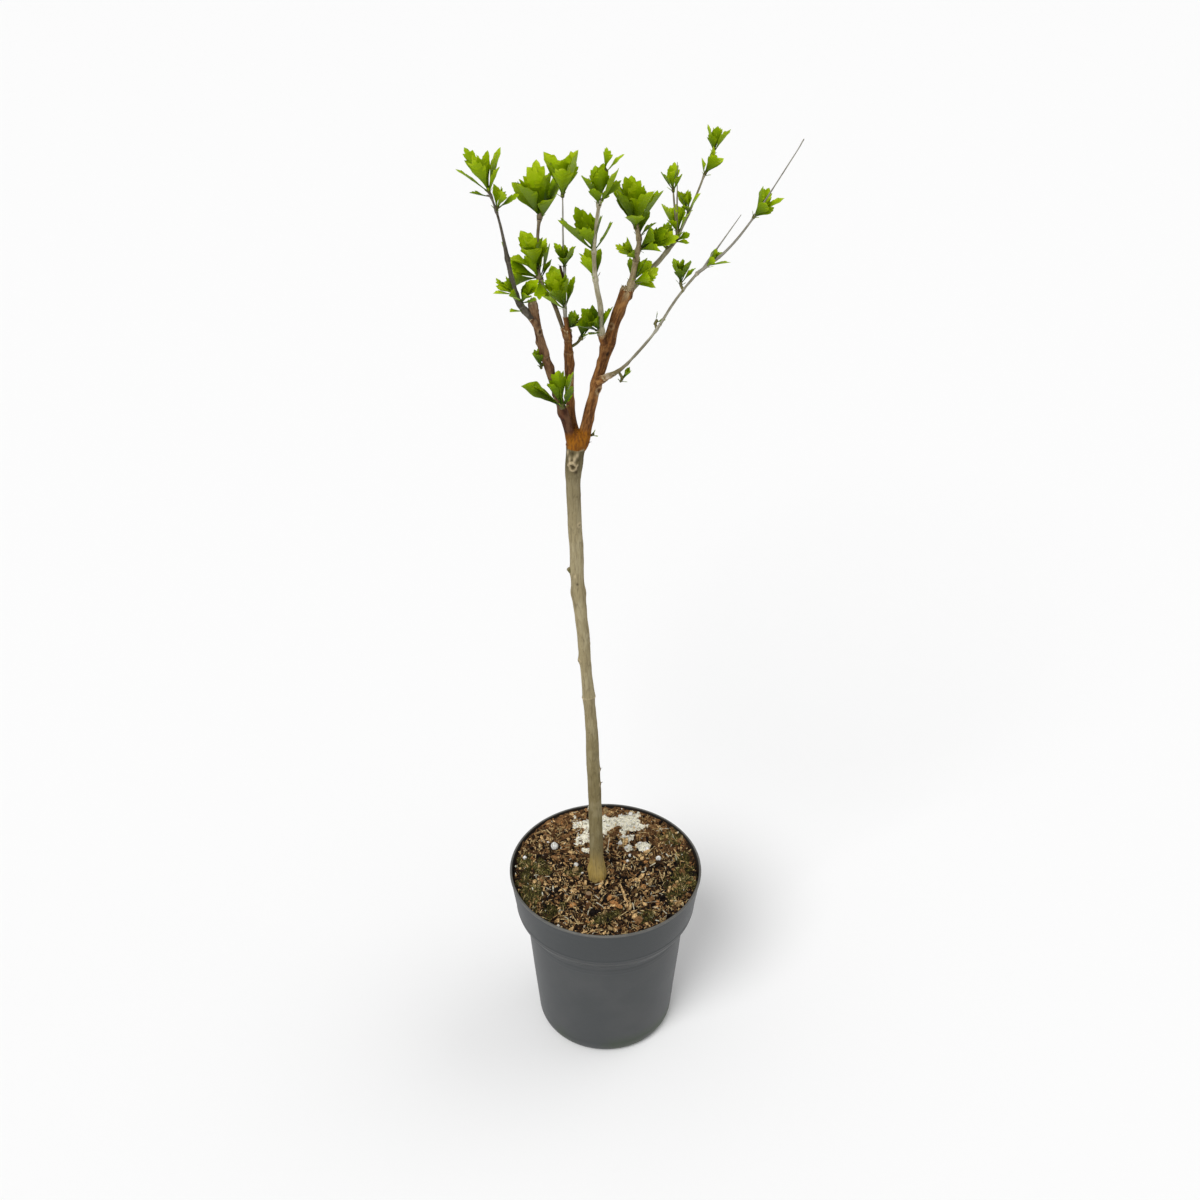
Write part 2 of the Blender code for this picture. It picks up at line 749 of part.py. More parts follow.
def make_shoot(name, shoot, finish, carrier, others):
    """One stem, its twigs and their leaves, joined by one Boolean union."""
    rng = np.random.default_rng(shoot.seed)
    rings = 2 * len(shoot.points)
    path = smooth_path(shoot.points, rings)
    radii = np.linspace(shoot.foot, shoot.tip, rings)
    stem = add_object(name, *tube(path, radii, STEM_SIDES), finish)
    cut(stem, *carrier)
    parts = bpy.data.collections.new(name + "_parts")
    bpy.context.scene.collection.children.link(parts)
    reach = smooth_path(shoot.points, REACH_POINTS)
    blades = []
    for spray in shoot.sprays:
        base, _ = point_at(path, spray.share)
        axis = bearing_vector(spray.bearing, spray.lean)
        end = base + axis * spray.twig
        if spray.twig:
            tip_radius = TWIG_TIP_RADIUS if spray.leaves else BARE_TIP_RADIUS
            shape = tube(np.linspace(base, end, 3), np.linspace(TWIG_RADIUS, tip_radius, 3), TWIG_SIDES)
            add_object("twig", *shape, finish, parts)
        for root, turn, tilt, length in whorl(end, axis, spray.leaf, spray.leaves, rng):
            for turn_step, tilt_step in SIDE_STEPS:
                shape = place_leaf(root, axis, turn + turn_step, tilt + tilt_step, length)
                blade = free_blade(shape[0])
                far = max(np.linalg.norm(reach - vertex, axis=1).min() for vertex in shape[0])
                crossed = any(blade.overlap(placed) for placed in blades)
                if far < REACH and not crossed and not touches(*shape, others):
                    add_object("leaf", *shape, finish, parts)
                    blades.append(blade)
                    break
    join = stem.modifiers.new("join", "BOOLEAN")
    join.operation = "UNION"
    join.operand_type = "COLLECTION"
    join.collection = parts
    apply_modifiers(stem)
    for obj in list(parts.objects):
        bpy.data.objects.remove(obj, do_unlink=True)
    bpy.data.collections.remove(parts)
    keep_body(stem)
    return stem


def main():
    clear_scene()
    pot = make_pot(material("pot_plastic", POT_COLOUR, 0.5))
    make_mix(material("potting_mix", MIX_COLOUR, 0.95))
    trunk = make_trunk(material("trunk_bark", TRUNK.colour, 0.8))
    limbs = {}
    for name, limb in BOUGHS.items():
        bark = material(name + "_bark", limb.colour, 0.7)
        made = add_object(name, *tube(*limb_path(limb), limb.sides), bark)
        if name == "right_side_bough":
            cut(made, BOUGHS["right_bough"], False)
        else:
            cut(made, TRUNK, True)
        limbs[name] = made
    others = [tree_of(obj) for obj in (trunk, pot, *limbs.values())]
    leaf_finish = material("leaf_green", LEAF_COLOUR, 0.5)
    for name, shoot in SHOOTS.items():
        made = make_shoot(name, shoot, leaf_finish, (BOUGHS[shoot.limb], False), others)
        others.append(tree_of(made))
    for obj in bpy.context.scene.objects:
        obj.data.shade_smooth()
        obj.data.set_sharp_from_angle(angle=SHARP_ANGLE)


main()
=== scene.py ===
import bpy
import itertools
import math
import numpy as np
from collections import namedtuple
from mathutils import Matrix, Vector
from mathutils.bvhtree import BVHTree


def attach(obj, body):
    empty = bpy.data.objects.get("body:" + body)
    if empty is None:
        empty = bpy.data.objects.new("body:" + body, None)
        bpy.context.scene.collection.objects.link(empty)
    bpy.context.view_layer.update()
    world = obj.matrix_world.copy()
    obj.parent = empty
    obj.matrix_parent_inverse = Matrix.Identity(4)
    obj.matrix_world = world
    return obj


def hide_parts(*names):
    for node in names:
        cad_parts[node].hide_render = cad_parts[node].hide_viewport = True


# A young rose of sharon standard in its nursery pot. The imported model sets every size:
# the pot, the trunk and the boughs are dressed where they stand, and each leafy shoot is
# grown again from the same seed, so that its leaves lie where the solid has them.

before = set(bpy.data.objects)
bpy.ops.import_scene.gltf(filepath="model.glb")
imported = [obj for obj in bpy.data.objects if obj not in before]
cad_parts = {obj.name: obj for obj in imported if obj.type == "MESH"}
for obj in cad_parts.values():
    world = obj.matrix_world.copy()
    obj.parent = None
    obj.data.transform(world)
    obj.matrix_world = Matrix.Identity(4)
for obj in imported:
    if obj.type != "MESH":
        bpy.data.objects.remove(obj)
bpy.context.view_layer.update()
print("frame loaded:", len(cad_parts), "nodes")

viewpoint = {
    "place": (-0.0055, -1.25, 1.378),  # in front of the pot and above the crown
    "lookDown": 34.51,  # degrees below level
    "lens": 51.21,
    "sensor": 36,
}


def makeCamera(view):
    data = bpy.data.cameras.new("camera")
    data.sensor_width = view["sensor"]
    data.lens = view["lens"]
    camera = bpy.data.objects.new("camera", data)
    camera.location = view["place"]
    camera.rotation_euler = (math.radians(90 - view["lookDown"]), 0, 0)
    bpy.context.scene.collection.objects.link(camera)
    bpy.context.scene.camera = camera


makeCamera(viewpoint)


# Numbers

def unit(vectors):
    return vectors / np.linalg.norm(vectors, axis=-1, keepdims=True)


def joined(*parts):
    # the parts side by side along a new last axis
    return np.stack(np.broadcast_arrays(*parts), axis=-1)


def fullTurn(count):
    return np.linspace(0, 2 * np.pi, count, endpoint=False)


perMetre = 1000  # the tables of places are in millimetres


def metres(rows):
    return np.array(rows) / perMetre


def rise(low, high, values):
    # 0 below low, 1 above high, and an S-shaped step between them
    share = np.clip((values - low) / (high - low), 0, 1)
    return share * share * (3 - 2 * share)


def hump(offset, width):
    # a bell that is 1 where the offset is 0
    return np.exp(-((offset / width) ** 2))


def cellNoise(places, cell, seed):
    # smooth noise from -1 to 1: a hashed value at each corner of a cubic lattice,
    # blended by an S-shaped step of the place inside its cell
    scaled = places / cell
    low = np.floor(scaled)
    part = scaled - low
    part = part * part * (3 - 2 * part)
    low = low.astype(np.int64)
    total = np.zeros(places.shape[:-1])
    for corner in itertools.product((0, 1), repeat=3):
        key = low + np.array(corner)
        mixed = key[..., 0] * 73856093 ^ key[..., 1] * 19349663 ^ key[..., 2] * 83492791 ^ seed * 6542989
        mixed = (mixed ^ (mixed >> 15)) * 1274126177 & 0xFFFFFFFF
        mixed = (mixed ^ (mixed >> 13)) * 2246822519 & 0xFFFFFFFF
        weight = np.where(corner, part, 1 - part).prod(axis=-1)
        total += weight * (mixed / 2**31 - 1)
    return total


def layered(places, cell, seed, layers=3):
    # noise on noise: each layer has half the size and half the height of the last
    return sum(cellNoise(places, cell / 2**k, seed + k) / 2**k for k in range(layers))


# Paths, by the rule of the solids

curveSteps = 12  # straight pieces between two given points
sideways = np.array([0.31, 0.95, 0.05])  # no limb and no twig points this way


def smoothPath(points, count):
    # a Catmull-Rom curve through the given points, resampled at even steps of length
    given = np.asarray(points, float)
    given = np.vstack([2 * given[0] - given[1], given, 2 * given[-1] - given[-2]])
    spans = len(given) - 3
    step = np.linspace(0, spans, spans * curveSteps + 1)
    index = np.minimum(step.astype(int), spans - 1)
    t = (step - index)[:, None]
    a, b, c, d = (given[index + k] for k in range(4))
    curve = 2 * b + (c - a) * t + (2 * a - 5 * b + 4 * c - d) * t**2 + (3 * b - a - 3 * c + d) * t**3
    fine = 0.5 * curve
    runs = np.r_[0, np.cumsum(np.linalg.norm(np.diff(fine, axis=0), axis=1))]
    wanted = np.linspace(0, runs[-1], count)
    return np.column_stack([np.interp(wanted, runs, fine[:, axis]) for axis in range(3)])


def runLength(path):
    return np.r_[0, np.cumsum(np.linalg.norm(np.diff(path, axis=0), axis=1))]


def across(axis):
    side = unit(np.cross(axis, sideways))
    return side, np.cross(axis, side)


def pointAt(path, share):
    place = share * (len(path) - 1)
    index = min(int(place), len(path) - 2)
    return path[index] + (path[index + 1] - path[index]) * (place - index)


# Meshes

class Gather:
    # collects arrays of points and faces, and makes one mesh of them

    def __init__(self, name):
        self.name, self.count = name, 0
        self.points, self.faces, self.slots, self.fields = [], [], [], {}

    def add(self, points, faces, slots=0, **fields):
        # faces is a list of index arrays with 3 or 4 columns, slots a number or one array for each
        points = points.reshape(-1, 3)
        for k, block in enumerate(faces):
            self.faces.append(block + self.count)
            slot = slots[k] if isinstance(slots, (list, tuple)) else slots
            self.slots.append(np.broadcast_to(slot, len(block)))
        for name, values in fields.items():
            self.fields.setdefault(name, []).append((self.count, values))
        self.points.append(points)
        self.count += len(points)

    def addCopies(self, points, faces, slots=0):
        # points has one row of vertices for each copy, slots one number for each copy or a list
        copies, size = points.shape[:2]
        start = (np.arange(copies) * size)[:, None, None]
        blocks = [(block[None] + start).reshape(-1, block.shape[1]) for block in faces]
        if not isinstance(slots, list):
            slots = [np.repeat(np.broadcast_to(slots, copies), len(block)) for block in faces]
        self.add(points, blocks, slots)

    def make(self, finishes, replaced=(), smooth=True):
        points = np.concatenate(self.points)
        corners = np.concatenate([block.ravel() for block in self.faces])
        sizes = np.concatenate([np.full(len(block), block.shape[1]) for block in self.faces])
        mesh = bpy.data.meshes.new(self.name)
        mesh.vertices.add(len(points))
        mesh.vertices.foreach_set("co", points.ravel())
        mesh.loops.add(len(corners))
        mesh.loops.foreach_set("vertex_index", corners)
        mesh.polygons.add(len(sizes))
        mesh.polygons.foreach_set("loop_start", np.r_[0, np.cumsum(sizes)[:-1]])
        mesh.polygons.foreach_set("material_index", np.concatenate(self.slots))
        mesh.polygons.foreach_set("use_smooth", np.full(len(sizes), smooth))
        for name, blocks in self.fields.items():
            width = blocks[0][1].shape[-1] if blocks[0][1].ndim == 2 else 1
            values = np.zeros((len(points), width))
            for start, block in blocks:
                values[start:start + len(block)] = block.reshape(len(block), width)
            kind, key = ("FLOAT_VECTOR", "vector") if width == 3 else ("FLOAT", "value")
            mesh.attributes.new(name, kind, "POINT").data.foreach_set(key, values.ravel())
        mesh.update(calc_edges=True)
        for finish in finishes:
            mesh.materials.append(finish)
        piece = bpy.data.objects.new(self.name, mesh)
        bpy.context.scene.collection.objects.link(piece)
        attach(piece, "root")
        if replaced:
            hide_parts(*replaced)
        return piece


def wrapFaces(rows, columns):
    # quads of a grid whose columns go once round, facing out where rows rise and columns turn left
    low = np.arange(rows - 1)[:, None] * columns + np.arange(columns)
    nxt = np.roll(low, -1, axis=1)
    return joined(low, nxt, nxt + columns, low + columns).reshape(-1, 4)


def fan(ring, centre, upwards):
    # triangles from a ring of indices to one centre
    other = np.roll(ring, -1)
    order = (ring, other) if upwards else (other, ring)
    return joined(*order, centre)


def closedFaces(rows, columns):
    # a wrapped grid, closed at each end by a centre point; the two centres follow the grid's points
    last = rows * columns
    first, final = np.arange(columns), np.arange(last - columns, last)
    return [wrapFaces(rows, columns), np.vstack([fan(first, last, False), fan(final, last + 1, True)])]


def ball(rows, columns):
    # a unit ball: rings of latitude, then the lower and the upper pole
    latitude = np.linspace(-np.pi / 2, np.pi / 2, rows + 2)[1:-1, None]
    turn = fullTurn(columns)
    grid = joined(np.cos(latitude) * np.cos(turn), np.cos(latitude) * np.sin(turn), np.sin(latitude))
    return np.vstack([grid.reshape(-1, 3), [[0, 0, -1], [0, 0, 1]]]), closedFaces(rows, columns)


def turnedAxes(rng, count, most):
    # for each copy three axes: a random heading, leaning by up to so many degrees
    heading = rng.uniform(0, 2 * np.pi, count)
    lean = np.radians(most) * rng.uniform(0, 1, count)
    towards = rng.uniform(0, 2 * np.pi, count)
    up = joined(np.sin(lean) * np.cos(towards), np.sin(lean) * np.sin(towards), np.cos(lean))
    ahead = joined(np.cos(heading), np.sin(heading), 0)
    ahead = unit(ahead - up * (ahead * up).sum(-1, keepdims=True))
    return np.stack([ahead, np.cross(up, ahead), up], axis=1)


# Materials

class Link:
    # an output socket, on which + - and * add Math nodes

    def __init__(self, finish, socket):
        self.finish = finish
        self.socket = socket

    def combined(self, operation, first, second):
        return self.finish.node("ShaderNodeMath", {"operation": operation}, {0: first, 1: second})

    def __add__(self, other):
        return self.combined("ADD", self, other)

    def __radd__(self, other):
        return self.combined("ADD", other, self)

    def __sub__(self, other):
        return self.combined("SUBTRACT", self, other)

    def __rsub__(self, other):
        return self.combined("SUBTRACT", other, self)

    def __mul__(self, other):
        return self.combined("MULTIPLY", self, other)

    def __rmul__(self, other):
        return self.combined("MULTIPLY", other, self)


class Finish:
    # one material, built node by node on its Principled shader

    def __init__(self, name, plain):
        self.material = bpy.data.materials.new(name)
        self.material.use_nodes = True
        self.tree = self.material.node_tree
        self.shader = self.tree.nodes["Principled BSDF"]
        for key, value in plain.items():
            self.feed(self.shader.inputs[key], value)

    def feed(self, socket, value):
        if isinstance(value, Link):
            self.tree.links.new(value.socket, socket)
        elif socket.type == "RGBA":
            socket.default_value = (*value, 1)
        else:
            socket.default_value = value

    def node(self, kind, settings, inputs, output=0):
        made = self.tree.nodes.new(kind)
        for key, value in settings.items():
            setattr(made, key, value)
        for key, value in inputs.items():
            self.feed(made.inputs[key], value)
        return Link(self, made.outputs[output])

    def place(self):
        return self.node("ShaderNodeTexCoord", {}, {}, "Object")

    def field(self, name, output="Fac"):
        return self.node("ShaderNodeAttribute", {"attribute_name": name}, {}, output)

    def stretched(self, vector, scale):
        # a smaller scale draws the noise out along the third axis
        return self.node("ShaderNodeVectorMath", {"operation": "MULTIPLY"}, {0: vector, 1: (1, 1, scale)})

    def height(self, vector):
        return self.node("ShaderNodeSeparateXYZ", {}, {0: vector}, "Z")

    def noise(self, vector, cell, detail=3, roughness=0.55):
        inputs = {"Vector": vector, "Scale": 1 / cell, "Detail": detail, "Roughness": roughness}
        return self.node("ShaderNodeTexNoise", {}, inputs)

    def spots(self, vector, cell):
        return self.node("ShaderNodeTexVoronoi", {}, {"Vector": vector, "Scale": 1 / cell}, "Distance")

    def step(self, value, low, high):
        inputs = {"Value": value, "From Min": low, "From Max": high}
        return self.node("ShaderNodeMapRange", {"interpolation_type": "SMOOTHSTEP"}, inputs)

    def mix(self, first, second, share):
        return self.node("ShaderNodeMix", {"data_type": "RGBA"}, {0: share, 6: first, 7: second}, 2)

    def coats(self, colour, *coats):
        # tones laid over a first colour one after another, each with its share
        for tone, share in coats:
            colour = self.mix(colour, tone, share)
        return colour

    def relief(self, height, depth):
        bump = self.node("ShaderNodeBump", {}, {"Height": height, "Strength": 1, "Distance": depth})
        self.feed(self.shader.inputs["Normal"], bump)

    def finished(self, colour, roughness):
        self.feed(self.shader.inputs["Base Color"], colour)
        self.feed(self.shader.inputs["Roughness"], roughness)
        return self.material


# Pot: a turned wall with a rounded foot, a shoulder, a collar and a rolled lip

pot = {
    "sides": 192,
    "wall": 0.0016,
    "floor": 0.0022,
    "baseRadius": 0.06,
    "hub": 0.004,  # radius of the innermost ring under the pot and on its floor
    "foot": (0.069, 0.016),
    "body": (0.0793, 0.134),
    "collar": (0.0889, 0.152),
    "neck": (0.0946, 0.1925),
    "lip": (0.09405, 0.19475, 0.00125),  # middle radius, height and half-thickness
    "rings": ((0.1545, 0.0004, 0.0009), (0.133, -0.00025, 0.0011), (0.1265, 0.00014, 0.0007)),
    "warp": 0.00025,
    "grey": (0.048, 0.052, 0.054),
    "paleGrey": (0.07, 0.072, 0.073),
    "collarGrey": (0.036, 0.04, 0.042),
    # the lip's pale grey is a painted highlight along the top of the rolled lip
    "lipHighlightGrey": (0.125, 0.122, 0.11),
    "algae": (0.04, 0.062, 0.022),
    # the pale tone on the shoulder ledge is partly dust and partly a painted highlight
    "dust": (0.135, 0.125, 0.108),
    # the inner wall's near-black tone is painted shade
    "inside": (0.02, 0.02, 0.019),
    "soiled": (0.03, 0.021, 0.013),
}


def potOutline():
    # up the outside: a quarter turn, a straight taper, an S-shaped shoulder, and the collar's taper
    turn = np.linspace(0, np.pi / 2, 24)
    foot, body, collar, neck = (pot[key] for key in ("foot", "body", "collar", "neck"))
    footReach = foot[0] - pot["baseRadius"]
    arc = joined(pot["baseRadius"] + footReach * np.sin(turn), foot[1] * (1 - np.cos(turn)))
    share = np.linspace(0, 1, 140)[1:, None]
    taper = np.array(foot) + (np.array(body) - foot) * share
    share = np.linspace(0, 1, 36)[1:]
    blend = rise(0, 1, share)
    shoulder = joined(body[0] + (collar[0] - body[0]) * blend, body[1] + (collar[1] - body[1]) * share)
    share = np.linspace(0, 1, 50)[1:, None]
    top = np.array(collar) + (np.array(neck) - collar) * share
    return np.vstack([arc, taper, shoulder, top])


def potRadius(height):
    outline = potOutline()
    return np.interp(height, outline[:, 1], outline[:, 0])


def potFinish():
    plastic = Finish("potPlastic", {"Specular IOR Level": 0.32})
    place = plastic.place()
    height = plastic.height(place)
    clouds = plastic.noise(place, 0.055, 4)
    scuffs = plastic.noise(plastic.stretched(place, 7), 0.01, 5, 0.7)
    grain = plastic.noise(place, 0.0009, 2)
    bodyTop = pot["body"][1]
    # the shoulder ledge is lightened, partly by dust and partly as a painted highlight, patchy with the
    # scuffs
    ledge = plastic.step(height, bodyTop, bodyTop + 0.012) * (1 - plastic.step(height, 0.15, 0.156))
    low = 1 - plastic.step(height, 0.004, 0.03)
    # painted highlight: the top of the rolled lip is painted lighter, patchy with the scuffs
    lip = plastic.step(height, 0.1932, 0.1941)
    colour = plastic.coats(
        pot["grey"],
        (pot["paleGrey"], plastic.step(clouds, 0.42, 0.72) * 0.55),
        (pot["paleGrey"], plastic.step(scuffs, 0.6, 0.78) * 0.35),
        (pot["collarGrey"], plastic.step(height, 0.14, 0.165) * 0.75),
        (pot["dust"], ledge * plastic.step(scuffs, 0.4, 0.7) * 0.25),
        (pot["algae"], low * plastic.step(clouds, 0.4, 0.62) * 0.75),
        (pot["lipHighlightGrey"], lip * (0.55 + plastic.step(scuffs, 0.35, 0.65) * 0.45)))
    plastic.relief(grain + scuffs * 1.5, 0.00006)
    return plastic.finished(colour, 0.34 + clouds * 0.14 + scuffs * 0.1)


def shadedInsideFinish():
    # the inner wall: its near-black tone is painted shade, and the mix stains it
    plastic = Finish("potInsidePaintedShade", {"Specular IOR Level": 0.2})
    stains = plastic.noise(plastic.stretched(plastic.place(), 2), 0.006, 4, 0.65)
    plastic.relief(stains, 0.0002)
    colour = plastic.mix(pot["inside"], pot["soiled"], plastic.step(stains, 0.4, 0.62))
    return plastic.finished(colour, 0.65 + stains * 0.2)


def makePot():
    # the profile turned round the axis; the outside carries rings and a slight warp
    outline = potOutline()
    middle, level, half = pot["lip"]
    turn = np.linspace(-np.pi / 3, np.pi, 22)  # the lip goes round by two thirds of a circle
    lip = joined(middle + half * np.cos(turn), level + half * np.sin(turn))
    down = np.linspace(level - half, pot["floor"], 60)
    inside = joined(potRadius(down) - pot["wall"], down)
    under = joined(np.linspace(pot["hub"], pot["baseRadius"], 12)[:-1], 0)
    top = joined(np.linspace(inside[-1, 0], pot["hub"], 10)[1:], pot["floor"])
    profile = np.vstack([under, outline, lip, inside, top])
    radius, height = profile[:, 0], profile[:, 1]
    isOut = np.zeros(len(profile))
    isOut[len(under):len(under) + len(outline)] = 1
    for at, size, width in pot["rings"]:
        radius = radius + isOut * size * hump(height - at, width)
    turn = fullTurn(pot["sides"])
    around = joined(np.cos(turn), np.sin(turn))
    grid = np.empty((len(profile), len(turn), 3))
    grid[..., :2] = around * radius[:, None, None]
    grid[..., 2] = height[:, None]
    warp = layered(grid, 0.045, 5, 2) * pot["warp"] * rise(0.008, 0.05, height)[:, None]
    warp = warp * (1 - rise(0.185, 0.192, height))[:, None] * isOut[:, None]
    grid[..., :2] += around * warp[..., None]
    shape = Gather("potShell")
    points = np.vstack([grid.reshape(-1, 3), [[0, 0, 0], [0, 0, pot["floor"]]]])
    row = np.repeat(np.arange(len(profile) - 1), len(turn))
    slots = [(row >= len(under) + len(outline) + len(lip) - 5).astype(int), np.repeat((0, 1), len(turn))]
    shape.add(points, closedFaces(len(profile), len(turn)), slots)
    return shape.make([potFinish(), shadedInsideFinish()], ["pot"])


makePot()
print("pot made")


# Potting mix: a bed with an uneven top, and what lies on it

mix = {
    "level": 0.1875,
    "rings": 150,
    "sides": 300,
    "trunkPlace": (-0.008, -0.008),
    "trunkClear": 0.0085,
    "reach": 0.0905,  # nothing has its middle nearer to the wall than this
    "wall": 0.0922,  # and nothing reaches further out
    "backRise": 0.0064,  # the mix is heaped up towards the back and the sides
    "sideRise": 0.0022,
    "trunkHeap": 0.0024,  # and a little against the trunk's foot
    "seeds": (101, 202, 303, 404),  # of the chips, the fibres, the moss and the white bits
    "chips": 3000,
    "flakes": 5200,
    "fibres": 1250,
    "slivers": 340,
    "mossBlades": 52000,
    "crumbs": 14000,
    # near-black: dark peat, and painted shade in the gaps between the chips
    "dark": (0.007, 0.004, 0.003),
    "brown": (0.05, 0.024, 0.009),
    "backBrown": (0.26, 0.13, 0.048),
    "mossDark": (0.012, 0.013, 0.004),
    "mossGreen": (0.13, 0.108, 0.03),
    "crust": (0.93, 0.9, 0.74),
    "crustShade": (0.6, 0.54, 0.4),
    # the first chip tone, near-black, is partly dark bark and partly painted shade of the gaps between the
    # chips
    "barkChipTones": (
        (0.007, 0.004, 0.003), (0.026, 0.013, 0.006), (0.085, 0.04, 0.015), (0.22, 0.115, 0.045),
        (0.6, 0.395, 0.18), (0.3, 0.205, 0.092), (0.4, 0.19, 0.065),
    ),
    "chipShares": (0.32, 0.21, 0.13, 0.12, 0.12, 0.07, 0.03),
    "fibreTones": ((0.68, 0.5, 0.25), (0.38, 0.23, 0.09), (0.92, 0.8, 0.54), (0.12, 0.065, 0.025)),
    "mossTones": ((0.045, 0.042, 0.01), (0.15, 0.132, 0.032), (0.34, 0.29, 0.09), (0.6, 0.51, 0.24)),
    "whiteCrumbTones": ((0.93, 0.89, 0.71), (0.74, 0.68, 0.52), (0.46, 0.39, 0.27)),
}
# Patches on the top: middle x and y, half-width and half-depth, in millimetres
whitePatches = metres((
    (-22, 66, 12, 11), (5, 68, 22, 12), (-21.5, 50, 8.5, 18), (26, 64, 15, 15), (41, 37, 9.5, 5),
    (23, 36, 4, 7),
))
mossPatches = metres((
    (-80, 6, 11, 20), (-66, 4, 11, 13), (-74, -26, 14, 20), (81, -4, 12, 28), (68, -24, 13, 18),
    (66, 47, 12, 12), (0, -64, 15, 11), (-56, -54, 15, 13), (-31, 1, 9, 7), (38, -62, 10, 8),
))
# Round white granules: place and diameter, in millimetres
granules = metres((
    (-51.8, 34.2, 8.2), (53.4, 20.2, 5.6), (-81.2, 18.3, 4.2), (-29.5, 11.7, 4.6), (26.3, 80.5, 5.2),
    (42.5, 32.5, 5), (35, 40, 3.4), (-45.8, -72.2, 3), (-23, -2.3, 3.2), (24.8, 23, 3.6), (21, 33, 4),
    (22, 16, 3.4), (15, 40, 4.6),
))
# Single chips: x, y, length and width in millimetres, heading in degrees, tone
placedChips = (
    (3.9, -35, 9.5, 6.2, 70, 6), (1, -31, 6, 4.5, 20, 4), (13.2, -49, 8.5, 5, 150, 6),
    (9, -47, 6, 3, 10, 4), (-32.2, -45.6, 8, 5.5, 40, 6), (-34, -43, 5, 3, 120, 3),
    (51, -43, 6.5, 4.5, 100, 6), (-40.6, 42.7, 13, 4.8, 35, 4), (-34.5, 27.6, 7.5, 4.8, 150, 4),
    (-30, 4, 9, 6.2, 20, 5), (-70, -15.5, 7, 4.8, 80, 4), (-66, -17, 6, 4.2, 60, 5),
    (-60, -16, 7.5, 3.6, 100, 4), (-56, -14, 5, 3.2, 120, 3), (-34, -15, 8, 3, 75, 4),
    (-29, -17, 7, 2.6, 100, 3), (-25, -14, 6, 3, 60, 4), (-20, -17, 8, 3.4, 80, 4),
    (-5, -21, 9, 4, 70, 4), (1, -19, 8.5, 3, 80, 4), (-9, -23, 7, 3, 40, 3),
    (18.3, -31.5, 29, 3.4, 104, 4), (69, -20, 6, 5, 10, 3), (77.8, 44.6, 9, 3, 85, 5),
)
twigEnd = {"place": (-0.0174, -0.0324), "radius": 0.0035, "rise": 0.0035}


def fromTrunk(x, y):
    return np.hypot(x - mix["trunkPlace"][0], y - mix["trunkPlace"][1])


def mixHeight(x, y):
    # the level, heaped towards the back and the sides, with broad swells, clods and grains on it
    places = joined(x, y, 0)
    swell = layered(places, 0.026, 21, 2) * 0.001
    clods = layered(places, 0.0065, 31, 2) * 0.0011
    grains = layered(places, 0.0019, 41, 2) * 0.0006
    heap = mix["backRise"] * rise(0.01, 0.085, y) + mix["sideRise"] * rise(0.05, 0.085, np.abs(x))
    away = fromTrunk(x, y)
    heap = heap * rise(0.012, 0.03, away) + mix["trunkHeap"] * (1 - rise(0.01, 0.024, away))
    return mix["level"] - 0.0004 + heap + swell + clods + grains


def patchShare(x, y, patches):
    # 1 in the middle of a patch, falling to 0 at its edge, and the edge is ragged
    ragged = layered(joined(x, y, 0), 0.008, 61, 4) * 0.5
    best = np.zeros_like(x)
    for middleX, middleY, halfX, halfY in patches:
        away = np.hypot((x - middleX) / halfX, (y - middleY) / halfY)
        best = np.maximum(best, 1 - rise(0.7, 1.1, away + ragged))
    return best


def scattered(rng, count):
    # even over the round top, clear of the trunk's foot
    radius = mix["reach"] * np.sqrt(rng.uniform(0, 1, count))
    turn = rng.uniform(0, 2 * np.pi, count)
    x, y = radius * np.cos(turn), radius * np.sin(turn)
    clear = fromTrunk(x, y) > mix["trunkClear"]
    return x[clear], y[clear]


def spared(rng, count, white, moss):
    # scattered places, except for these shares of the ones in white and in mossy patches
    x, y = scattered(rng, count)
    lost = np.maximum(patchShare(x, y, whitePatches) * white, patchShare(x, y, mossPatches) * moss)
    keep = lost < rng.uniform(0, 1, len(x))
    return x[keep], y[keep]


def crumbFinish(name, colour, cell, roughness=0.85):
    # a broken, mealy surface: the tone wanders from darker to lighter
    crumb = Finish(name, {"Specular IOR Level": 0.12})
    place = crumb.place()
    blotches = crumb.noise(place, cell, 4, 0.65)
    darker = tuple(0.42 * value for value in colour)
    lighter = tuple(min(0.95, 1.45 * value) for value in colour)
    tone = crumb.mix(darker, lighter, crumb.step(blotches, 0.34, 0.68))
    crumb.relief(crumb.noise(place, cell * 0.35, 4, 0.7), 0.0003)
    return crumb.finished(tone, roughness - 0.1 + blotches * 0.15)


def soilFinish():
    # near-black peat, partly painted shade of the gaps between the chips, with brown lumps, drier at the
    # back, green and white where the patches are
    soil = Finish("mixSoil", {"Specular IOR Level": 0.15})
    place = soil.place()
    lumps = soil.noise(place, 0.0045, 5, 0.6)
    fine = soil.noise(place, 0.0014, 5, 0.7)
    back = soil.node("ShaderNodeSeparateXYZ", {}, {0: place}, "Y")
    dry = soil.step(back, 0.01, 0.07) * soil.step(lumps, 0.34, 0.58) * 0.9
    green = soil.mix(mix["mossDark"], mix["mossGreen"], soil.step(fine, 0.42, 0.66))
    crust = soil.mix(mix["crustShade"], mix["crust"], soil.step(fine, 0.36, 0.56))
    soil.relief(fine + lumps, 0.001)
    return soil.finished(soil.coats(
        mix["dark"],
        (mix["brown"], soil.step(lumps, 0.42, 0.66)),
        (mix["backBrown"], dry),
        (mix["barkChipTones"][3], soil.step(fine, 0.6, 0.74) * 0.6),
        (green, soil.step(soil.field("moss") + lumps * 0.9, 0.7, 1.15) * 0.8),
        (crust, soil.step(soil.field("white") + fine * 0.9 - 0.45, 0.36, 0.5))), 0.95)


def crumbFinishes(name, cell, roughness=0.85):
    # one for each of the tones that the mix has under that name
    return [
        crumbFinish(f"{name}{k}", tone, cell, roughness) for k, tone in enumerate(mix[name + "Tones"])]


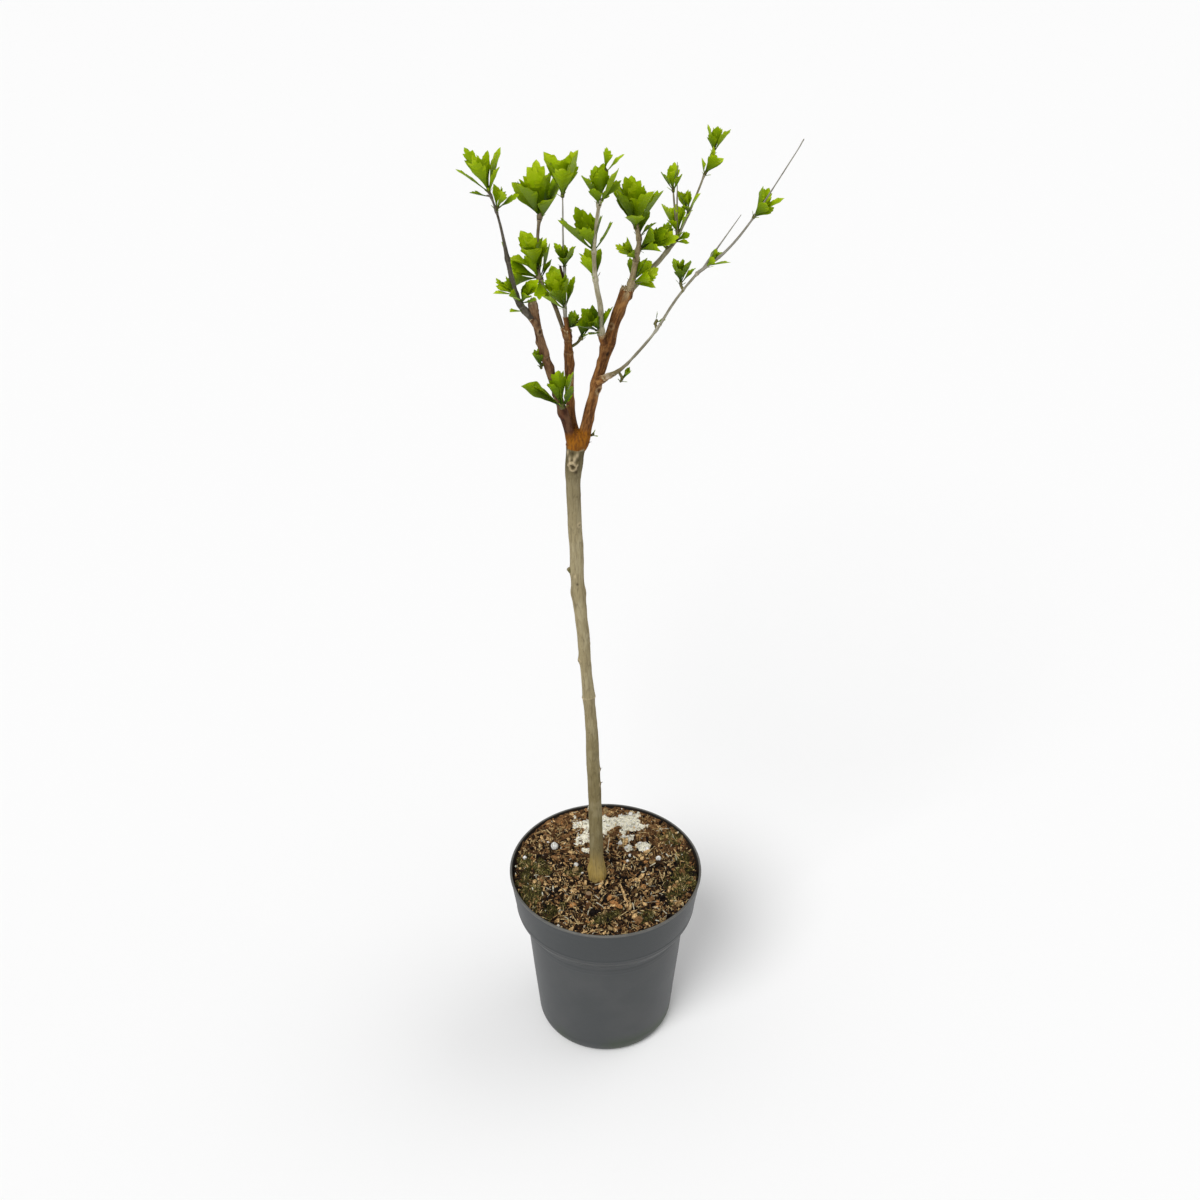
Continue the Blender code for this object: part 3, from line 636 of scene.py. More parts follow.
def makeMixBed():
    # the top is a polar grid raised by mixHeight, the rest follows the inside of the pot
    turn = fullTurn(mix["sides"])
    wall = pot["wall"] + 0.0002
    levels = np.linspace(pot["floor"] + 0.0003, mix["level"] - 0.003, 40)
    around = joined(np.cos(turn), np.sin(turn))
    side = np.empty((len(levels), len(turn), 3))
    side[..., :2] = around * (potRadius(levels) - wall)[:, None, None]
    side[..., 2] = levels[:, None]
    edge = potRadius(mix["level"]) - wall
    radii = np.linspace(edge, 0.0006, mix["rings"])
    top = np.empty((len(radii), len(turn), 3))
    top[..., :2] = around * radii[:, None, None]
    x, y = top[..., 0], top[..., 1]
    moss, white = patchShare(x, y, mossPatches), patchShare(x, y, whitePatches)
    soft = layered(joined(x, y, 0), 0.0028, 51, 2)
    top[..., 2] = mixHeight(x, y) + moss * (0.001 + 0.0005 * soft) + white * (0.001 + 0.0007 * soft)
    grid = np.concatenate([side, top])
    middle = mixHeight(np.zeros(1), np.zeros(1))[0]
    points = np.vstack([grid.reshape(-1, 3), [[0, 0, levels[0]], [0, 0, middle]]])
    bare = np.zeros(side.shape[0] * side.shape[1])
    bed = Gather("mixBed")
    bed.add(
        points, closedFaces(len(grid), len(turn)),
        moss=np.r_[bare, moss.ravel(), 0, 0], white=np.r_[bare, white.ravel(), 0, 0])
    return bed.make([soilFinish()], ["potting_mix"])


def chipTones(rng, x, y):
    # the back of the pot is drier and paler
    tones = rng.choice(len(mix["barkChipTones"]), len(x), p=mix["chipShares"])
    paler = rng.uniform(0, 1, len(x)) < 0.65 * rise(0, 0.07, y)
    return np.where(paler & (tones < 3), tones + 2, tones)


def placedCopies(bent, size, axes, middles):
    # unit balls drawn out to their sizes along their own axes
    return np.einsum("nvk,nkx->nvx", bent * size[:, None] / 2, axes) + middles[:, None]


def lumpCopies(rng, x, y, template, middle, widest, longest, most):
    # copies of a small ball, pulled to their sizes, made angular, and leaning their own ways
    count = len(x)
    length = np.clip(rng.lognormal(math.log(middle), 0.5, count), middle * 0.4, longest)
    width = length * rng.uniform(0.3, widest, count)
    size = joined(length, width, length * rng.uniform(0.16, 0.42, count))
    bent = template[None] * rng.uniform(0.7, 1.3, (count, len(template), 1))
    axes = turnedAxes(rng, count, most)
    room = mix["wall"] - length * 0.55
    inward = np.minimum(1, room / np.hypot(x, y))
    x, y = x * inward, y * inward
    lift = mixHeight(x, y) + size[:, 2] * 0.3 + length * 0.22 * (1 - axes[:, 2, 2])
    return placedCopies(bent, size, axes, joined(x, y, lift))


def makeChips():
    # bark chips: small balls pulled into flat angular lumps, and between them thin flakes
    rng = np.random.default_rng(mix["seeds"][0])
    finishes = crumbFinishes("barkChip", 0.0016)
    x, y = spared(rng, mix["chips"], 0.95, 0.35)
    template, faces = ball(3, 6)
    chips = Gather("barkChips")
    points = lumpCopies(rng, x, y, template, 0.0034, 0.75, 0.011, 75)
    chips.addCopies(points, faces, chipTones(rng, x, y))
    x, y, length, width = metres(placedChips).T[:4]
    heading, tones = np.array(placedChips).T[4:]
    heading = np.radians(heading)
    ahead = joined(np.cos(heading), np.sin(heading), 0.1)
    aside = joined(-np.sin(heading), np.cos(heading), 0.15)
    axes = np.stack([unit(ahead), unit(aside), unit(np.cross(ahead, aside))], axis=1)
    bent = template[None] * rng.uniform(0.8, 1.2, (len(x), len(template), 1))
    middles = joined(x, y, mixHeight(x, y) + 0.0016)
    points = placedCopies(bent, joined(length, width, width * 0.75), axes, middles)
    chips.addCopies(points, faces, tones.astype(int))
    chips.make(finishes, smooth=False)
    x, y = spared(rng, mix["flakes"], 0.9, 0.2)
    template, faces = ball(2, 5)
    flakes = Gather("barkFlakes")
    points = lumpCopies(rng, x, y, template, 0.0021, 0.6, 0.005, 85)
    tones = chipTones(rng, x, y)
    isPaler = (tones < 2) & (rng.uniform(0, 1, len(x)) < 0.5)
    flakes.addCopies(points, faces, np.where(isPaler, tones + 3, tones))
    return flakes.make(finishes, smooth=False)


def strandPoints(start, ahead, up, length, bend, radius, rows, sides, flat=1):
    # strands that leave the start ahead and bend towards up, thinner at both ends
    share = np.linspace(0, 1, rows)
    run = share[None, :, None] * length[:, None, None]
    bow = (share * (1 - share))[None, :, None] * 4
    curve = start[:, None] + ahead[:, None] * run + up[:, None] * (bend * length)[:, None, None] * bow
    side = unit(np.cross(ahead, up))
    turn = fullTurn(sides)
    spread = np.cos(turn)[:, None] * side[:, None, :] + flat * np.sin(turn)[:, None] * up[:, None, :]
    thick = radius[:, None] * np.clip(2.6 * np.sin(np.pi * np.clip(share, 0.06, 0.94)), 0, 1)[None, :]
    grid = curve[:, :, None, :] + spread[:, None] * thick[..., None, None]
    ends = curve[:, [0, -1]]
    return np.concatenate([grid.reshape(len(start), -1, 3), ends], axis=1), closedFaces(rows, sides)


def makeFibres():
    # pale fibres that lie across the chips, and flat slivers of which many stand on end
    rng = np.random.default_rng(mix["seeds"][1])
    fibres = Gather("paleFibres")
    x, y = spared(rng, mix["fibres"], 0.95, 0.5)
    count = len(x)
    length = np.clip(rng.lognormal(math.log(0.005), 0.5, count), 0.002, 0.018)
    axes = turnedAxes(rng, count, 34)
    ahead = axes[:, 0]
    outward = np.hypot(x + ahead[:, 0] * length, y + ahead[:, 1] * length) > mix["reach"]
    ahead = np.where(outward[:, None], -ahead, ahead)
    ahead = unit(ahead + joined(0, 0, rng.uniform(-0.05, 0.5, count) ** 2))
    up = unit(np.cross(np.cross(ahead, axes[:, 2]), ahead))
    start = joined(x, y, mixHeight(x, y) + 0.0012)
    radius = rng.uniform(0.00014, 0.00042, count)
    bend = rng.uniform(-0.08, 0.12, count)
    points, faces = strandPoints(start, ahead, up, length, bend, radius, 7, 4)
    fibres.addCopies(points, faces, rng.choice(4, count, p=(0.34, 0.3, 0.12, 0.24)))
    x, y = spared(rng, mix["slivers"], 0.95, 0.3)
    count = len(x)
    axes = turnedAxes(rng, count, 68)
    length = rng.uniform(0.0035, 0.0085, count)
    start = joined(x, y, mixHeight(x, y) - 0.0006)
    radius = rng.uniform(0.0004, 0.0011, count)
    bend = rng.uniform(-0.12, 0.12, count)
    inward = -0.35 * rise(0.07, 0.09, np.hypot(x, y))
    ahead = unit(axes[:, 2] + joined(x, y, 0) / mix["reach"] * inward[:, None])
    up = unit(np.cross(np.cross(ahead, axes[:, 0]), ahead))
    points, faces = strandPoints(start, ahead, up, length, bend, radius, 6, 6, 0.35)
    fibres.addCopies(points, faces, rng.choice(4, count, p=(0.36, 0.34, 0.14, 0.16)))
    return fibres.make(crumbFinishes("fibre", 0.0012, 0.7))


def makeMoss():
    # short blades, dense inside the patches: each is a bent strand of few faces
    rng = np.random.default_rng(mix["seeds"][2])
    x, y = scattered(rng, mix["mossBlades"])
    keep = patchShare(x, y, mossPatches) * 0.34 > rng.uniform(0, 1, len(x))
    x, y = x[keep], y[keep]
    count = len(x)
    length = rng.uniform(0.0014, 0.0036, count)
    axes = turnedAxes(rng, count, 60)
    start = joined(x, y, mixHeight(x, y) + 0.0008)
    radius = rng.uniform(0.00012, 0.0003, count)
    bend = rng.uniform(0, 0.3, count)
    points, faces = strandPoints(start, axes[:, 2], axes[:, 0], length, bend, radius, 4, 3)
    clump = layered(joined(x, y, 0), 0.006, 71, 2)
    tones = np.clip(np.rint(1.2 + clump * 1.6 + rng.uniform(-0.9, 0.9, count)), 0, 3).astype(int)
    moss = Gather("mossTufts")
    moss.addCopies(points, faces, tones)
    return moss.make(crumbFinishes("moss", 0.002, 0.8))


def makeWhiteBits():
    # round granules in their places, and crumbs on the white crust behind the trunk
    rng = np.random.default_rng(mix["seeds"][3])
    bits = Gather("whiteGranules")
    template, faces = ball(7, 12)
    rough = 1 + cellNoise(template[None] * 0.5 + granules[:, None] * 300, 0.4, 9)[..., None] * 0.14
    x, y, wide = granules.T
    middles = joined(x, y, mixHeight(x, y) + wide * 0.42)
    bits.addCopies(template[None] * rough * wide[:, None, None] / 2 + middles[:, None], faces)
    template, faces = ball(2, 5)
    x, y = scattered(rng, mix["crumbs"])
    chance = rng.uniform(0.05, 1, len(x))
    keep = (patchShare(x, y, whitePatches) > chance) | (chance < 0.056)
    x, y = x[keep], y[keep]
    count = len(x)
    wide = np.clip(rng.lognormal(math.log(0.001), 0.45, count), 0.0004, 0.0034)
    size = joined(wide, wide * rng.uniform(0.6, 1, count), wide * rng.uniform(0.35, 0.7, count))
    bent = template[None] * rng.uniform(0.8, 1.2, (count, len(template), 1))
    axes = turnedAxes(rng, count, 40)
    lift = mixHeight(x, y) + patchShare(x, y, whitePatches) * 0.001 + rng.uniform(0.0003, 0.001, count)
    points = placedCopies(bent, size, axes, joined(x, y, lift))
    bits.addCopies(points, faces, rng.choice(3, count, p=(0.66, 0.24, 0.1)))
    return bits.make(crumbFinishes("whiteCrumb", 0.002, 0.9), smooth=False)


makeMixBed()
makeChips()
makeFibres()
makeMoss()
makeWhiteBits()
print("potting mix made")


# Limbs: the trunk and the boughs, with the relief of their bark

Limb = namedtuple("Limb", "bark foot tip flare points swellings")
Mark = namedtuple("Mark", "kind height bearing width size")


def limbOf(bark, foot, tip, flare, points, swellings):
    # lengths in millimetres; a swelling has a share of the limb, its height, and its width as a share
    swellings = [(share, extra / perMetre, width) for share, extra, width in swellings]
    return Limb(bark, foot / perMetre, tip / perMetre, flare / perMetre, metres(points), swellings)


def marksOf(rows):
    # kind, height, bearing in degrees, width and size, with the lengths in millimetres
    return [
        Mark(kind, height / perMetre, bearing, width / perMetre, size / perMetre)
        for kind, height, bearing, width, size in rows]


# A bark has a main tone, darker streaks, paler patches, specks, the tones of its scars and hollows,
# how deep its fissures are, how much the streaks and the patches show, and zones: a tone that
# comes in from one height to another, and its share there
Bark = namedtuple(
    "Bark", "main dark pale speck scar hollow fissure streaky patchy zones", defaults=(0.75, 0.6, ()))

barks = {
    "trunk": Bark(
        (0.33, 0.275, 0.155), (0.18, 0.14, 0.066), (0.455, 0.4, 0.255), (0.54, 0.48, 0.33),
        (0.72, 0.58, 0.36), (0.05, 0.034, 0.016), 0.00018, 0.3, 0.38,
        (((0.19, 0.156, 0.082), 0.58, 0.64, 0.7), ((0.085, 0.068, 0.028), 0.64, 0.66, 0.88),
         ((0.15, 0.12, 0.048), 0.44, 0.3, 0.75),
         ((0.45, 0.31, 0.08), 0.235, 0.198, 0.9))),
    "left": Bark(
        (0.165, 0.08, 0.034), (0.044, 0.02, 0.01), (0.27, 0.16, 0.08), (0.33, 0.245, 0.15),
        (0.36, 0.26, 0.15), (0.024, 0.013, 0.007), 0.00024, 0.9, 0.7,
        (((0.08, 0.022, 0.009), 0.735, 0.712, 0.9),)),
    "middle": Bark(
        (0.235, 0.098, 0.028), (0.075, 0.026, 0.009), (0.37, 0.19, 0.066), (0.38, 0.24, 0.11),
        (0.4, 0.26, 0.12), (0.034, 0.014, 0.006), 0.00024, 0.9, 0.7),
    "right": Bark(
        (0.24, 0.098, 0.026), (0.062, 0.022, 0.007), (0.43, 0.215, 0.07), (0.43, 0.27, 0.12),
        (0.52, 0.39, 0.21), (0.028, 0.012, 0.005), 0.00028, 0.95, 0.75),
    "side": Bark(
        (0.3, 0.28, 0.2), (0.13, 0.11, 0.068), (0.5, 0.48, 0.39), (0.56, 0.54, 0.45),
        (0.62, 0.53, 0.4), (0.07, 0.05, 0.028), 0.0001, 0.6, 0.5,
        (((0.17, 0.13, 0.046), 0.762, 0.748, 0.9), ((0.26, 0.115, 0.03), 0.745, 0.738, 0.7))),
    "darkShoot": Bark(
        (0.12, 0.104, 0.078), (0.046, 0.038, 0.028), (0.22, 0.2, 0.155), (0.34, 0.31, 0.25),
        (0.4, 0.36, 0.28), (0.024, 0.018, 0.012), 0.00008),
    "greyShoot": Bark(
        (0.15, 0.115, 0.062), (0.06, 0.043, 0.024), (0.28, 0.235, 0.15), (0.4, 0.36, 0.27),
        (0.44, 0.36, 0.23), (0.04, 0.027, 0.016), 0.0001),
    "tanShoot": Bark(
        (0.38, 0.3, 0.165), (0.135, 0.092, 0.042), (0.56, 0.48, 0.31), (0.6, 0.53, 0.37),
        (0.6, 0.5, 0.32), (0.06, 0.04, 0.02), 0.00012, 0.8, 0.7),
    "paleShoot": Bark(
        (0.4, 0.36, 0.235), (0.22, 0.185, 0.108), (0.56, 0.525, 0.39), (0.64, 0.6, 0.48),
        (0.58, 0.5, 0.35), (0.12, 0.085, 0.05), 0.00009, 0.55, 0.6),
    "oliveShoot": Bark(
        (0.25, 0.225, 0.14), (0.12, 0.1, 0.055), (0.4, 0.375, 0.27), (0.48, 0.45, 0.35),
        (0.5, 0.43, 0.3), (0.08, 0.058, 0.034), 0.00008, 0.6, 0.6),
    "greyTip": Bark(
        (0.3, 0.285, 0.235), (0.16, 0.148, 0.115), (0.45, 0.44, 0.385), (0.52, 0.51, 0.45),
        (0.46, 0.4, 0.3), (0.11, 0.085, 0.055), 0.00005),
    "deadTwig": Bark(
        (0.06, 0.03, 0.014), (0.022, 0.011, 0.006), (0.12, 0.066, 0.03), (0.16, 0.1, 0.05),
        (0.2, 0.11, 0.05), (0.016, 0.009, 0.005), 0.00008),
    "spur": Bark(
        (0.105, 0.1, 0.03), (0.05, 0.042, 0.014), (0.2, 0.18, 0.075), (0.3, 0.25, 0.13),
        (0.32, 0.25, 0.14), (0.036, 0.027, 0.012), 0.00006),
}
# At the fork the grey bark ends, and a smooth orange-brown band goes round the boughs' feet
fork = {
    "greyEnds": 0.6735,
    "orangeEnds": 0.69,
    "orange": (0.3, 0.108, 0.006),
    "redBrown": (0.105, 0.03, 0.006),
    "dome": 0.0105,
    "root": (-0.0262, 0.0012, 0.661),  # where the boughs' feet come together inside the trunk
}

trunk = limbOf("trunk", 6.6, 6.2, 0, (
    (-8, -8, 187.8), (-9, -6, 224), (-11, 0, 297), (-14, 4, 380), (-17, 3, 421), (-21, -1, 486),
    (-25, 0, 530), (-26, 1, 571), (-28, 1, 625), (-27, 1, 660), (-25, 2, 679),
), (
    (0.01, 2.2, 0.035), (0.5, -1, 0.2), (0.69, 1.1, 0.012), (0.955, 0.8, 0.015), (1, 2.6, 0.035),
))
trunkMarks = marksOf((
    ("swell", 202, 185, 6, 1.6), ("swell", 196, 300, 7, 1), ("swell", 550, 185, 5, 1.2),
    ("swell", 453.4, 190, 4.8, 1.1), ("knot", 453.4, 205, 2.2, 0.5), ("ring", 408.5, 300, 1, 0.7),
    ("swell", 406.5, 240, 7, 0.6), ("knot", 321.8, 350, 2.4, 1), ("knot", 305.5, 340, 2.2, 0.9),
    ("knot", 599, 310, 2.2, 0.5), ("swell", 629, 300, 6, 0.5), ("ridge", 547, 252, 0.8, 0.5),
    ("pit", 538.5, 270, 1.6, 0.3), ("loop", 658.5, 258, 3.3, 1.1), ("ridge", 670, 222, 1.1, 1),
    ("ridge", 669.5, 282, 1.2, 1.1), ("ridge", 664.8, 238, 1.3, 1.2), ("ridge", 665.5, 268, 1.3, 1.3),
    ("pit", 670.2, 252, 2.2, 1), ("pit", 664.5, 253, 1, 0.9), ("pit", 664, 295, 1.4, 0.7),
    ("pit", 652.5, 285, 2, 0.6), ("loop", 659, 75, 3, 0.8), ("ridge", 666, 60, 1.3, 0.8),
    ("ridge", 665, 90, 1.2, 0.8), ("swell", 647, 200, 7, 0.9), ("knot", 260, 120, 2.4, 0.6),
    ("knot", 370, 60, 2.6, 0.7), ("loop", 470, 40, 2.6, 0.5), ("knot", 520, 110, 2.6, 0.7),
    ("swell", 410, 20, 6, 1), ("ring", 674.2, 0, 1, 0.4),
))

boughs = {
    "left_bough": limbOf("left", 4, 3.1, 1.2, (
        (-29, 0, 680), (-36, -8, 712), (-46, -16, 753), (-53, -23, 786), (-58, -29, 818),
    ), (
        (0.66, 0.5, 0.03), (0.97, 0.5, 0.05),
    )),
    "middle_bough": limbOf("middle", 4, 3.4, 1, (
        (-26, 6, 679), (-30, 14, 702), (-31, 22, 735), (-32, 29, 765),
    ), (
        (0.8, 0.6, 0.05),
    )),
    "right_bough": limbOf("right", 4.8, 4.5, 1.2, (
        (-20, 2, 679), (-14, 5, 705), (-8, 7, 731), (0, 10, 759), (7, 13, 784), (16, 16, 808),
    ), (
        (0.38, 0.6, 0.04), (0.66, 0.6, 0.05), (1, 0.6, 0.06),
    )),
    "right_side_bough": limbOf("side", 1.4, 0.9, 0, (
        (-6, 4, 734), (11, -6, 749), (26, -16, 771), (39, -26, 794), (50, -36, 819), (59, -44, 837),
        (69, -53, 855),
    ), (
        (0.02, 1.5, 0.1), (0.52, 0.4, 0.02), (0.98, 0.4, 0.02),
    )),
}
boughMarks = {
    "left_bough": marksOf((
        ("swell", 711, 200, 4.5, 1.2), ("pit", 706, 250, 1.8, 0.5), ("knot", 730, 200, 2.4, 0.9),
        ("groove", 735, 300, 1.6, 0.5), ("swell", 756, 20, 4, 1), ("ring", 768, 0, 0.8, 0.4),
        ("loop", 792, 300, 2.2, 0.6), ("knot", 782, 190, 2.2, 0.8), ("ring", 810, 0, 0.8, 0.5),
        ("fray", 817, 0, 4, 0.4),
    )),
    "middle_bough": marksOf((
        ("swell", 708, 60, 4, 1), ("loop", 726, 280, 2.4, 0.6), ("groove", 735, 240, 1.6, 0.5),
        ("swell", 740, 350, 4.5, 1.2), ("ring", 748, 0, 0.8, 0.4), ("ring", 758, 0, 0.9, 0.5),
        ("pit", 752, 300, 1.4, 0.5), ("fray", 765, 0, 3.5, 0.4),
    )),
    "right_bough": marksOf((
        ("swell", 698, 30, 5, 0.9), ("loop", 725.5, 315, 3, 0.6), ("groove", 718, 275, 1.4, 0.6),
        ("groove", 748, 290, 1.7, 0.8), ("groove", 780, 300, 1.5, 0.5), ("pit", 757, 285, 2.6, 0.8),
        ("swell", 760, 190, 6, 1.4), ("swell", 748, 185, 3, 0.8), ("knot", 779, 240, 2.6, 0.7),
        ("swell", 790, 20, 5, 1), ("groove", 795, 330, 1.6, 0.6), ("fray", 807.5, 0, 5, 0.5),
    )),
    "right_side_bough": marksOf((
        ("fray", 740, 0, 3.5, 0.5), ("knot", 744, 280, 1.6, 0.5), ("swell", 756, 330, 3, 0.4),
        ("ring", 798, 0, 0.8, 0.4), ("knot", 796, 120, 1.8, 0.6), ("ring", 836, 0, 0.7, 0.4),
        ("ring", 852, 0, 0.8, 0.5),
    )),
}


def barkFinish(name, bark, isTrunk=False, fromFork=False):
    # streaks and patches follow the limb through its own grain coordinates
    skin = Finish(name, {"Specular IOR Level": 0.1})
    grain, place = skin.field("grain", "Vector"), skin.place()
    streaks = skin.noise(skin.stretched(grain, 0.13), 0.0014, 5, 0.65)
    bands = skin.noise(skin.stretched(grain, 0.1), 0.0046, 3, 0.55)
    fine = skin.noise(grain, 0.0007, 4, 0.7)
    mottle = skin.noise(skin.stretched(grain, 0.7), 0.0024, 4, 0.65)
    patches = skin.noise(skin.stretched(grain, 0.4), 0.009, 4, 0.6)
    specks = 1 - skin.step(skin.spots(skin.stretched(grain, 0.6), 0.0026), 0.08, 0.22)
    main, dark, pale = bark.main, bark.dark, bark.pale
    height = skin.height(place)
    for tone, start, end, share in bark.zones:
        there = skin.step(height, start, end) * share
        main = skin.mix(main, tone, there)
        pale = skin.mix(pale, tone, there * 0.6)
    colour = skin.coats(
        main,
        (dark, skin.step(bands, 0.46, 0.66) * bark.streaky * 0.9),
        (dark, skin.step(streaks, 0.45, 0.68) * bark.streaky),
        (dark, skin.step(mottle, 0.5, 0.72) * (bark.streaky * 0.7)),
        (pale, skin.step(patches, 0.46, 0.64) * bark.patchy),
        (pale, (1 - skin.step(mottle, 0.3, 0.46)) * (bark.patchy * 0.6)),
        (bark.speck, specks * skin.step(fine, 0.4, 0.65) * 0.18),
        (bark.scar, skin.field("scar") * (0.35 + fine * 0.7)))
    upright = skin.noise(skin.stretched(place, 0.16), 0.002, 5, 0.65)
    broad = skin.noise(skin.stretched(place, 0.5), 0.006, 3, 0.55)
    orange = skin.coats(
        fork["orange"],
        (fork["redBrown"], skin.step(upright, 0.42, 0.68) * 0.75),
        (fork["redBrown"], skin.step(broad, 0.44, 0.66) * 0.6))
    if isTrunk:
        edge = skin.step(height + upright * 0.003 - 0.0015, fork["greyEnds"], fork["greyEnds"] + 0.0014)
        colour = skin.mix(colour, orange, edge)
    if fromFork:
        low, high = fork["orangeEnds"] - 0.0025, fork["orangeEnds"] + 0.0025
        colour = skin.mix(orange, colour, skin.step(height + upright * 0.008 - 0.004, low, high))
    colour = skin.mix(colour, bark.hollow, skin.field("hollow"))
    skin.relief(streaks + fine * 0.6 + mottle * 0.8 + specks * 0.12, 0.00036)
    return skin.finished(colour, 0.6 + patches * 0.2)


limbGrid = {
    "trunkRings": 660,
    "trunkSides": 96,
    "boughStep": 0.0006,  # from ring to ring
    "boughSides": 72,
    "sideSides": 48,
    "stemStep": 0.0009,
    "stemSides": 20,
    "twigStep": 0.0016,
    "twigSides": 10,
}
# End rings: metres past the end, share of the end's radius, and how pale the wood is there
cutEnd = (
    (0.0002, 0.985, 0), (0.0005, 0.9, 0.3), (0.0004, 0.72, 1), (0.0003, 0.45, 0.8), (0.0004, 0.2, 0.9))
roundEnd = ((0.0002, 0.92, 0), (0.0004, 0.72, 0), (0.0005, 0.4, 0))
domeEnd = tuple(
    (fork["dome"] * high, (1 - high**2.2) ** (1 / 2.2), 0)
    for high in (0.15, 0.3, 0.45, 0.6, 0.72, 0.83, 0.91, 0.97, 0.99, 0.999))
stubEnd = (
    (0.0003, 0.98, 0.1), (0.001, 0.9, 0.4), (0.0017, 0.74, 0.7), (0.0021, 0.52, 0.5), (0.0022, 0.25, 0.8))
flatEnd = ((0, 0.7, 0), (0, 0.35, 0))


def markRelief(mark, grain, aside, lengthways, seed):
    # what one mark adds: shares of its own size to the height, of the scar's and of the hollow's tone
    width = mark.width
    away = np.hypot(aside, lengthways) / width
    if mark.kind == "ring":
        offset = lengthways + layered(grain, 0.005, seed + 13, 2) * width * 1.5
        broken = rise(-0.6, 0.5, cellNoise(grain, 0.004, seed + 19))
        band = hump(offset, width) * (0.35 + 0.65 * broken)
        return band, band * 0.5, hump(offset - 1.8 * width, width * 0.7) * 0.4 * broken
    if mark.kind == "loop":
        away = np.hypot(aside, lengthways / 1.2) / width + layered(grain, 0.0022, seed + 17, 2) * 0.4
        band = hump(away - 1, 0.3)
        return band - hump(away, 0.6) * 0.6, band * 0.9, hump(away, 0.55) * 0.7
    if mark.kind == "ridge":
        away = np.hypot(aside, lengthways / 2.4) / width
        return hump(away, 1), hump(away, 0.9) * 0.9, 0
    if mark.kind == "groove":
        wave = cellNoise(grain, 0.006, seed + 23) * width * 0.6
        band = hump(aside + wave, width) * hump(lengthways, width * 9)
        return -band, 0, band * 0.55
    if mark.kind == "fray":
        torn = rise(-0.25, 0.35, layered(grain * (1, 1, 0.4), 0.002, seed + 29, 2))
        band = hump(lengthways, width) * torn
        return band, band * 0.9, 0
    if mark.kind == "pit":
        return -hump(away, 1), 0, hump(away, 0.8) * 0.8
    if mark.kind == "knot":
        return hump(away, 1), hump(away - 0.9, 0.35) * 0.5, hump(away, 0.45) * 0.6
    return hump(away, 1), 0, 0  # a swelling


def limbMesh(shape, path, radii, sides, bark, seed, end=roundEnd, marks=(), slot=0):
    # a grid round the path: its radius is the limb's own, plus lumps, fissures drawn out
    # along the limb, and the ridges and hollows of the marks
    run = runLength(path)
    first, last = unit(path[1] - path[0]), unit(path[-1] - path[-2])
    along = unit(np.gradient(path, axis=0))
    head = flatEnd[::-1]
    before, after = np.array([row[0] for row in head]), np.array([row[0] for row in end])
    path = np.vstack([path[0] - before[:, None] * first, path, path[-1] + after[:, None] * last])
    along = np.vstack([[first] * len(head), along, [last] * len(end)])
    run = np.r_[-before, run, run[-1] + after]
    share = np.r_[[row[1] for row in head], np.ones(len(radii)), [row[1] for row in end]]
    wood = np.r_[[row[2] for row in head], np.zeros(len(radii)), [row[2] for row in end]]
    radii = np.r_[[radii[0]] * len(head), radii, [radii[-1]] * len(end)]
    side = unit(np.cross(along, sideways))
    other = np.cross(along, side)
    turn = fullTurn(sides)
    outward = np.cos(turn)[None, :, None] * side[:, None] + np.sin(turn)[None, :, None] * other[:, None]
    mean = radii.mean()
    grain = joined(np.cos(turn) * mean + seed * 0.1, np.sin(turn) * mean, run[:, None])
    lumps = layered(grain * (1, 1, 0.45), 0.007, seed, 2) * bark.fissure * 2.2
    crease = 1 - np.abs(layered(grain * (1, 1, 0.1), 0.0016, seed + 7, 2))
    cracks = rise(0.78, 1, crease)
    extra = lumps - cracks * bark.fissure
    scar = np.zeros(extra.shape)
    hollow = cracks * 0.35
    for mark in marks:
        row = np.abs(path[:, 2] - mark.height).argmin()
        facing = np.array([math.cos(math.radians(mark.bearing)), math.sin(math.radians(mark.bearing)), 0])
        centre = math.atan2(facing @ other[row], facing @ side[row])
        apart = (turn - centre + np.pi) % (2 * np.pi) - np.pi
        aside = apart[None] * radii[row]
        shares = markRelief(mark, grain, aside, (run - run[row])[:, None], seed)
        extra += mark.size * shares[0]
        scar += shares[1]
        hollow += shares[2]
    grid = path[:, None] + outward * ((radii[:, None] + extra) * share[:, None])[..., None]
    scar = np.clip(scar + wood[:, None], 0, 1)
    points = np.vstack([grid.reshape(-1, 3), path[0], path[-1]])
    grainEnds = [[seed * 0.1, 0, run[0]], [seed * 0.1, 0, run[-1]]]
    shape.add(
        points, closedFaces(len(path), sides), slot, grain=np.vstack([grain.reshape(-1, 3), grainEnds]),
        scar=np.r_[scar.ravel(), wood[0], wood[-1]],
        hollow=np.r_[np.clip(hollow, 0, 1).ravel() * np.repeat(1 - wood, sides), 0, 0],
    )


def pieceName(node):
    words = node.split("_")
    return words[0] + "".join(word.capitalize() for word in words[1:])


def limbRadii(limb, count):
    share = np.linspace(0, 1, count)
    radii = limb.foot + (limb.tip - limb.foot) * share
    for at, extra, width in limb.swellings:
        radii = radii + extra * hump(share - at, width)
    return radii + limb.flare * hump(share, 0.08)


# Buds on the trunk: place, the way they point, and length. A stub: from, to, radius at each end
trunkBuds = (
    ((-0.016, -0.0008, 0.6785), (0.85, -0.25, 0.35), 0.0034),
    ((-0.0068, 0.0018, 0.3208), (0.8, -0.1, 0.6), 0.0036),
    ((-0.0056, 0.0008, 0.3046), (0.8, -0.2, 0.6), 0.0032),
)
trunkStub = ((-0.029, -0.0005, 0.5475), (-0.033, -0.0012, 0.5525), 0.0026, 0.0019)


